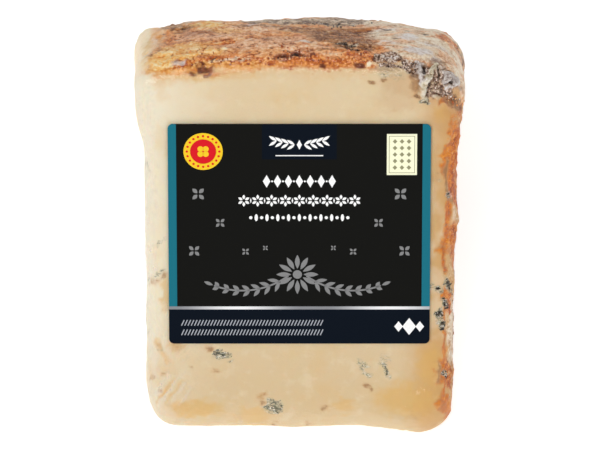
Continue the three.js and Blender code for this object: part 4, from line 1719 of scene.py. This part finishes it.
@dataclass(frozen=True)
class LabelFinish:
    """Satin print in plain fields: black, teal sides, a navy foot and tab, a silver rule."""

    datum: Datum
    black: tuple = srgb(21, 21, 19)
    teal: tuple = srgb(30, 115, 133)
    navy: tuple = srgb(11, 19, 30)
    silver: tuple = srgb(140, 141, 146)
    foil_highlight: tuple = srgb(246, 246, 248)
    side_band: float = 2.1
    foot_height: float = 9.35
    rule_height: float = 0.82
    tab_width: float = 18.8
    tab_height: float = 9.4
    glints: tuple[float, float] = (-15.5, 23.0)
    glint_reach: float = 16.0

    def material(self) -> Material:
        """Build the material.

        Returns:
            The material.
        """
        graph = Graph(bpy.data.materials.new("label_print"))
        right, up = self._plane(graph)
        plate = self.datum.plate
        fibre = graph.mottle(graph.place(), 0.35, 3, 0.6)
        foot_top = self.foot_height - plate.length / 2
        colour = graph.blend(self.black, self.teal, abs(right) > plate.width / 2 - self.side_band)
        tab = (abs(right) < self.tab_width / 2) * (up > plate.length / 2 - self.tab_height)
        colour = graph.blend(colour, self.navy, tab)
        colour = graph.blend(colour, self._rule(graph, right), up < foot_top + self.rule_height)
        colour = graph.blend(colour, self.navy, up < foot_top)
        inputs = {
            "Base Color": colour,
            "Roughness": fibre * 0.08 + 0.42,
            "Specular IOR Level": 0.05,
            "Normal": graph.bump(fibre, 0.008),
        }
        return graph.surface(graph.coat(inputs))

    def _plane(self, graph: Graph) -> tuple[Signal, Signal]:
        """Work out the place on the label.

        Args:
            graph: The material's graph.

        Returns:
            How far right and up from its middle, in millimetres.
        """
        to_label = self.datum.label_matrix().inverted()
        place = graph.place()
        settings = {"operation": "DOT_PRODUCT"}
        numbers = []
        for row in to_label[:2]:
            inputs = {0: place, 1: tuple(row[:3])}
            dot = graph.signal("ShaderNodeVectorMath", settings, inputs, "Value")
            numbers.append(dot + row[3])
        return numbers[0], numbers[1]

    def _rule(self, graph: Graph, right: Signal) -> Socket:
        """Give the rule two soft lengths of painted highlight on grey foil."""
        left, other = (abs(right - at).rise(self.glint_reach, 0) for at in self.glints)
        return graph.blend(self.silver, self.foil_highlight, left.larger(other))


class Ink(Enum):
    """The foils and inks of the printed ornament, as screen colours."""

    SILVER = (135, 135, 135)
    WHITE = (250, 250, 248)
    PALE = (172, 176, 184)
    GOLD = (248, 205, 40)
    RED = (219, 22, 34)
    CREAM = (255, 255, 218)
    OLIVE = (150, 148, 112)

    def material(self) -> Material:
        """Build this ink's material, once.

        Returns:
            The material.
        """
        name = f"ink_{self.name.lower()}"
        if name in bpy.data.materials:
            return bpy.data.materials[name]
        graph = Graph(bpy.data.materials.new(name))
        grain = graph.mottle(graph.place(), 0.3, 2)
        lighter = tuple(min(1.0, channel * 1.06) for channel in srgb(*self.value))
        inputs = {
            "Base Color": graph.blend(srgb(*self.value), lighter, grain.rise(0.4, 0.6)),
            "Roughness": grain * 0.1 + 0.4,
            "Specular IOR Level": 0.15,
        }
        return graph.surface(graph.coat(inputs))


def aside(centre: Sequence[float], angle: float, reach: float) -> tuple[float, float]:
    """Give the point that lies off a centre at an angle in degrees."""
    turn = radians(angle)
    return (centre[0] + reach * cos(turn), centre[1] + reach * sin(turn))


def around(
    centre: Sequence[float], count: int, reach: float, first: float = 0.0
) -> list[tuple[tuple[float, float], float]]:
    """Give places evenly round a centre, each with its angle in degrees."""
    angles = [first + 360 / count * step for step in range(count)]
    return [(aside(centre, angle, reach), angle) for angle in angles]


def spaced(count: int, pitch: float) -> list[float]:
    """Give places a pitch apart, even about zero."""
    return [(step - (count - 1) / 2) * pitch for step in range(count)]


class Printer:
    """Lays flat shapes on the label's plane as thin closed plates of ink.

    A shape has its centre or foot on the label, its size, its turn in degrees, and its layer,
    which is how many inks lie under it.
    """

    LIFT = 0.012
    THICKNESS = 0.02
    LAYER = 0.012
    LOZENGE = 4
    BEAD = 12
    LEAF_SIDES = 20
    RING_SIDES = 48
    STEM_STEPS = 24

    def __init__(self, datum: Datum) -> None:
        """Start with a clean plate.

        Args:
            datum: The tie between drum and frame.
        """
        self.datum = datum
        self.bm = bmesh.new()
        self.pieces: list[Object] = []

    def _set(self, verts: list[BMVert], centre: Sequence[float], turn: float, layer: int) -> None:
        """Turn a new shape and bring it to its place."""
        place = Matrix.Translation((*centre, self.LIFT + layer * self.LAYER))
        bmesh.ops.transform(self.bm, matrix=place @ Matrix.Rotation(radians(turn), 4, "Z"), verts=verts)

    def _circle(self, sides: int, radius: float = 0.5, filled: bool = True) -> list[BMVert]:
        """Start a shape from a circle and give its vertices."""
        bm = self.bm
        return bmesh.ops.create_circle(bm, cap_ends=filled, segments=sides, radius=radius)["verts"]

    def _sized(self, verts: list[BMVert], width: float, height: float) -> list[BMVert]:
        """Give a new shape its size."""
        bmesh.ops.scale(self.bm, vec=(width, height, 1), verts=verts)
        return verts

    def disc(
        self, centre: Sequence[float], width: float, height: float, sides: int = 40, layer: int = 0
    ) -> None:
        """Lay an ellipse, or with four sides a lozenge."""
        self._set(self._sized(self._circle(sides), width, height), centre, 0, layer)

    def bar(
        self, centre: Sequence[float], width: float, height: float, turn: float = 0, layer: int = 0
    ) -> None:
        """Lay a rectangle."""
        made = bmesh.ops.create_grid(self.bm, x_segments=1, y_segments=1, size=0.5)["verts"]
        self._set(self._sized(made, width, height), centre, turn, layer)

    def leaf(self, foot: Sequence[float], length: float, width: float, turn: float) -> None:
        """Lay a leaf that tapers to both its ends.

        Args:
            foot: Where it grows from.
            length: Its length.
            width: Its greatest width.
            turn: Which way it points, in degrees.
        """
        made = self._circle(self.LEAF_SIDES)
        for vert in made:
            taper = 1 - (2 * vert.co.x) ** 2
            full = width * (0.35 + 0.65 * taper)
            vert.co = ((vert.co.x + 0.5) * length, vert.co.y * full, 0)
        self._set(made, foot, turn, 0)

    def ring(self, centre: Sequence[float], outer: float, inner: float) -> None:
        """Lay a ring.

        Args:
            centre: Its place on the label.
            outer: Its outer radius.
            inner: Its inner radius.
        """
        rims = [self._circle(self.RING_SIDES, radius, False) for radius in (outer, inner)]
        verts = [vert for rim in rims for vert in rim]
        edges = {edge for vert in verts for edge in vert.link_edges}
        bmesh.ops.bridge_loops(self.bm, edges=list(edges))
        self._set(verts, centre, 0, 0)

    def bow(
        self, centre: Sequence[float], radius: float, width: float, start: float, sweep: float
    ) -> None:
        """Lay a thin curved stem.

        Args:
            centre: The middle of its circle.
            radius: Its radius.
            width: Its width.
            start: The angle where it starts, in degrees.
            sweep: How far it goes round.
        """
        before = set(self.bm.verts)
        ends = [self.bm.verts.new((radius + side * width / 2, 0, 0)) for side in (-1, 1)]
        bmesh.ops.spin(
            self.bm,
            geom=[*ends, self.bm.edges.new(ends)],
            axis=(0, 0, 1),
            cent=(0, 0, 0),
            angle=radians(sweep),
            steps=self.STEM_STEPS,
        )
        self._set([vert for vert in self.bm.verts if vert not in before], centre, start, 0)

    def finish(self, name: str, ink: Ink) -> None:
        """Thicken what was laid and make it a piece.

        Args:
            name: The piece's name.
            ink: Its ink.
        """
        bm = self.bm
        made = bmesh.ops.extrude_face_region(bm, geom=bm.faces[:], use_keep_orig=True)["geom"]
        top = [item for item in made if isinstance(item, BMVert)]
        bmesh.ops.translate(bm, vec=(0, 0, self.THICKNESS), verts=top)
        bmesh.ops.recalc_face_normals(bm, faces=bm.faces)
        to_frame = Matrix.Scale(MM, 4) @ self.datum.label_matrix()
        bmesh.ops.transform(bm, matrix=to_frame, verts=bm.verts)
        self.bm = bmesh.new()
        self.pieces.append(add_piece(name, finished_mesh(name, bm), ink.material()))


@dataclass
class LabelOrnament:
    """The plain ornament that is printed on the label, by places right and up from its middle."""

    printer: Printer
    rosette_at: tuple[float, float] = (-0.5, -10.8)
    stem_radius: float = 19.0
    stem_width: float = 0.45
    stem_sweep: float = 60.0
    blossoms: tuple[tuple[float, float, float], ...] = (
        (25.5, 11, 1.7), (20, 3.2, 1.25), (26.6, -4.4, 1.5), (13.6, -4.6, 0.95), (8.6, -3.6, 0.7),
    )
    lozenge_pitch: float = 2.75
    lozenges_up: float = 14.4
    flower_pitch: float = 3.5
    flowers_up: float = 9.2
    bead_pitch: float = 1.36
    beads_up: float = 4.6
    sprig_up: float = 24.2
    diamonds: tuple[tuple[float, float], ...] = ((25.2, 1.0), (27.9, 1.6), (30.6, 1.0))
    diamonds_up: float = -25.0
    strokes: int = 44
    stroke_rows: tuple[float, float] = (-24.0, -26.6)
    strokes_from: float = -29.6
    stroke_pitch: float = 0.82
    roundel_at: tuple[float, float] = (-24.2, 22.4)
    stamp_at: tuple[float, float] = (25.8, 21.6)
    stamp_width: float = 7.6
    stamp_height: float = 11.0
    lattice_pitch: float = 1.75

    def build(self) -> list[Object]:
        """Print every ink.

        Returns:
            The pieces, one for each group and ink.
        """
        self._garland()
        self._title()
        self._foot_hatching()
        self._roundel()
        self._stamp()
        return self.printer.pieces

    def _garland(self) -> None:
        """Print the silver rosette, its two leafy sprays and the scattered blossoms."""
        printer = self.printer
        for foot, angle in around(self.rosette_at, 12, 1.6):
            printer.leaf(foot, 3.7, 1.25, angle)
        printer.disc(self.rosette_at, 2.3, 2.3)
        for side in (-1, 1):
            self._spray(side)
        for x, y, size in self.blossoms:
            for side in (-1, 1):
                for foot, angle in around((side * x, y), 4, 0.18 * size, 45):
                    printer.leaf(foot, size, 0.62 * size, angle)
        printer.finish("silver_ornament", Ink.SILVER)

    def _spray(self, side: int) -> None:
        """Print one stem with its pairs of leaves.

        Args:
            side: 1 for the right, -1 for the left.
        """
        printer = self.printer
        x, y = self.rosette_at
        radius, sweep = self.stem_radius, self.stem_sweep
        pivot = (x + side * 14.0, y - 4.4 + radius)
        start = 270 - side * 38
        printer.bow(pivot, radius, self.stem_width, min(start, start + side * sweep), sweep)
        for step in range(7):
            angle = start + side * (8 + step * 8)
            foot = aside(pivot, angle, radius)
            for lean in (-38, 38):
                printer.leaf(foot, 3.1 - 0.22 * step, 1.0, angle + side * 90 + lean)
        tip = start + side * (sweep + 1)
        printer.leaf(aside(pivot, tip, radius), 2.4, 0.9, tip + side * 90)

    def _title(self) -> None:
        """Print the white rows, the sprig in the tab and the diamonds in the foot."""
        printer = self.printer
        for x in spaced(7, self.lozenge_pitch):
            printer.disc((x, self.lozenges_up), 1.9, 3.4, Printer.LOZENGE)
        for x in spaced(6, self.lozenge_pitch):
            printer.disc((x, self.lozenges_up), 0.5, 0.5, Printer.BEAD)
        for x in spaced(9, self.flower_pitch):
            for foot, angle in around((x, self.flowers_up), 6, 0.35, 30):
                printer.leaf(foot, 1.25, 0.72, angle)
        for x in spaced(8, self.flower_pitch):
            printer.disc((x, self.flowers_up), 0.42, 1.5, Printer.LOZENGE)
        for step, x in enumerate(spaced(19, self.bead_pitch)):
            printer.disc((x, self.beads_up), 0.85, 1.9 if step % 2 else 0.85, 16)
        for side in (-1, 1):
            for step in range(4):
                foot = (side * (1.2 + step * 1.5), self.sprig_up + 0.35 * step)
                for lean in (-34, 34):
                    printer.leaf(foot, 2.3, 0.75, 90 - side * (90 - lean))
        printer.disc((0, self.sprig_up), 1.3, 2.6, Printer.LOZENGE)
        printer.bar((0, self.sprig_up - 2.9), 12.0, 0.28)
        for x, size in self.diamonds:
            printer.disc((x, self.diamonds_up), 2.2 * size, 2.9 * size, Printer.LOZENGE)
        printer.finish("white_ornament", Ink.WHITE)

    def _foot_hatching(self) -> None:
        """Print two rows of fine slanting strokes in the foot."""
        for row in self.stroke_rows:
            for step in range(self.strokes):
                at = (self.strokes_from + step * self.stroke_pitch, row)
                self.printer.bar(at, 0.26, 1.7, -24)
        self.printer.finish("foot_hatching", Ink.PALE)

    def _roundel(self) -> None:
        """Print a gold ring round a red disc with a four-lobed flower."""
        printer = self.printer
        printer.ring(self.roundel_at, 4.95, 3.25)
        for place, _ in around(self.roundel_at, 4, 0.95, 45):
            printer.disc(place, 1.5, 1.5, layer=1)
        printer.finish("gold_roundel", Ink.GOLD)
        printer.disc(self.roundel_at, 6.6, 6.6)
        for place, _ in around(self.roundel_at, 20, 4.1):
            printer.disc(place, 0.62, 0.62, Printer.BEAD, 1)
        printer.finish("red_roundel", Ink.RED)

    def _stamp(self) -> None:
        """Print a cream field with a fine border and a lozenge lattice."""
        printer = self.printer
        x, y = self.stamp_at
        width, height, border, inset = self.stamp_width, self.stamp_height, 0.14, 0.6
        printer.bar(self.stamp_at, width, height)
        printer.finish("cream_stamp", Ink.CREAM)
        for side in (-1, 1):
            at_side = (x + side * (width / 2 - inset), y)
            at_end = (x, y + side * (height / 2 - inset))
            printer.bar(at_side, border, height - 2 * inset, layer=1)
            printer.bar(at_end, width - 2 * inset + border, border, layer=1)
        for up in spaced(5, self.lattice_pitch):
            for right in spaced(3, self.lattice_pitch):
                printer.disc((x + right, y + up), 1.15, 1.25, Printer.LOZENGE, 1)
        printer.finish("stamp_lines", Ink.OLIVE)


# ----- Studio -----


@dataclass(frozen=True)
class SoftBox:
    """One square area light that looks at the wedge."""

    name: str
    azimuth: float
    elevation: float
    distance: float
    width: float
    watts: float
    colour: tuple[float, float, float] = (1.0, 1.0, 1.0)

    def build(self, target: Vector) -> None:
        """Hang the light.

        Args:
            target: What it looks at, in metres.
        """
        data = bpy.data.lights.new(self.name, "AREA")
        data.size = self.width
        data.energy = self.watts
        data.color = self.colour
        lamp = add_object(self.name, data)
        turn, rise = radians(self.azimuth), radians(self.elevation)
        level = Vector((sin(turn), -cos(turn), 0)) * cos(rise)
        back = level + Vector((0, 0, sin(rise)))
        lamp.location = target + back * self.distance
        lamp.rotation_mode = "QUATERNION"
        lamp.rotation_quaternion = (-back).to_track_quat("-Z", "Y")


@dataclass
class Studio:
    """A pale floor, soft light all round, and the camera."""

    elevation: float = radians(63)
    distance: float = 1600.0
    pixels_per_mm: float = 3.92
    image_width: float = 600.0
    image_height: float = 450.0
    object_at: tuple[float, float] = (299.7, 224.3)
    sensor: float = 36.0
    floor_size: float = 8.0
    floor_gap: float = 0.1
    sky_light: float = 0.37
    backdrop_light: float = 1.05
    floor_glow: float = 0.55
    farthest: float = 100.0
    boxes: tuple[SoftBox, ...] = (
        SoftBox("key_light", -38, 58, 1.5, 0.9, 10.0),
        SoftBox("fill_light", 48, 50, 1.6, 1.0, 4.0),
        SoftBox("rim_light", 160, 52, 1.4, 0.7, 2.0, (0.9, 0.95, 1.0)),
    )

    def build(self, outline: Object) -> None:
        """Set up floor, world, lights and camera.

        Args:
            outline: The piece whose outline the camera frames.
        """
        low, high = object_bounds()
        middle = (low + high) / 2
        self._floor()
        self._world()
        for box in self.boxes:
            box.build(middle)
        self._camera(outline, middle)
        scene = bpy.context.scene
        scene.view_settings.view_transform = "Standard"
        scene.view_settings.look = "None"

    def _floor(self) -> None:
        """Lay the floor just under the wedge."""
        bm = bmesh.new()
        bmesh.ops.create_grid(bm, x_segments=1, y_segments=1, size=self.floor_size / 2)
        bmesh.ops.translate(bm, vec=(0, 0, -self.floor_gap * MM), verts=bm.verts)
        graph = Graph(bpy.data.materials.new("floor"))
        inputs = {
            "Base Color": (0.86, 0.86, 0.86, 1),
            "Roughness": 0.9,
            "Specular IOR Level": 0.0,
            "Emission Color": (1, 1, 1, 1),
            "Emission Strength": self.floor_glow,
        }
        finish = graph.surface(graph.coat(inputs))
        floor = add_piece("floor", finished_mesh("floor", bm), finish)
        floor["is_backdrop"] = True

    def _world(self) -> None:
        """Light the room evenly, and show the camera plain white behind."""
        world = bpy.data.worlds.new("room")
        bpy.context.scene.world = world
        graph = Graph(world)
        seen = graph.signal("ShaderNodeLightPath", None, None, "Is Camera Ray")
        strength = seen * (self.backdrop_light - self.sky_light) + self.sky_light
        inputs = {"Color": (1, 1, 1, 1), "Strength": strength}
        glow = graph.out("ShaderNodeBackground", None, inputs)
        graph.node("ShaderNodeOutputWorld", None, {"Surface": glow})

    def _camera(self, outline: Object, middle: Vector) -> None:
        """Stand the camera so that the wedge's outline is centred where it should be.

        Args:
            outline: The piece whose outline counts.
            middle: The middle of the object's box, in metres.
        """
        distance = self.distance * MM
        back = Vector((0, -cos(self.elevation), sin(self.elevation)))
        turn = (-back).to_track_quat("-Z", "Y")
        right, up = turn @ Vector((1, 0, 0)), turn @ Vector((0, 1, 0))
        points = fetched(outline.data.vertices, "co", 3, float)
        off = points - np.array(middle + back * distance)
        depth = -off @ np.array(back)
        across = off @ np.array(right) / depth * distance
        upward = off @ np.array(up) / depth * distance
        per_pixel = MM / self.pixels_per_mm
        off_x = (self.object_at[0] - self.image_width / 2) * per_pixel
        off_y = (self.object_at[1] - self.image_height / 2) * per_pixel
        shift_x = (across.min() + across.max()) / 2 - off_x
        shift_y = (upward.min() + upward.max()) / 2 + off_y
        data = bpy.data.cameras.new("camera")
        data.sensor_width = self.sensor
        data.lens = self.sensor * self.distance * self.pixels_per_mm / self.image_width
        data.clip_end = self.farthest
        camera = add_object("camera", data)
        camera.rotation_mode = "QUATERNION"
        camera.rotation_quaternion = turn
        camera.location = middle + back * distance + right * shift_x + up * shift_y
        bpy.context.scene.camera = camera


# ----- The whole pack -----


def report(piece: Object) -> None:
    """Log one piece's name and size."""
    sides = [round(side / MM, 1) for side in piece.dimensions]
    LOG.info("%s: %d faces, %s mm", piece.name, len(piece.data.polygons), sides)


def settle(piece: Object) -> None:
    """Let a finished piece ride on the part, and log its name and size.

    Args:
        piece: The piece.
    """
    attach(piece, "root")
    report(piece)


def main() -> None:
    """Dress the frame's wedge and label and set up the studio."""
    logging.basicConfig(level=logging.INFO, format="%(name)s: %(message)s")
    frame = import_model()
    datum = Datum(Drum(), LabelPlate())
    skin = Skin(frame["nodes"]["cheese_wedge"], datum)
    cheese = Cheese(skin)
    body = cheese.build()
    film = Film(skin, cheese).build()
    for piece in (body, film):
        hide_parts("cheese_wedge")
        settle(piece)
    for kind in CRUMB_KINDS:
        settle(Crumbs(skin, cheese, kind).build())
    bpy.data.meshes.remove(skin.mesh)
    label = frame["nodes"]["label"]
    label.data.materials.clear()
    label.data.materials.append(LabelFinish(datum).material())
    report(label)
    for piece in LabelOrnament(Printer(datum)).build():
        settle(piece)
    Studio().build(film)


if __name__ == "__main__":
    main()
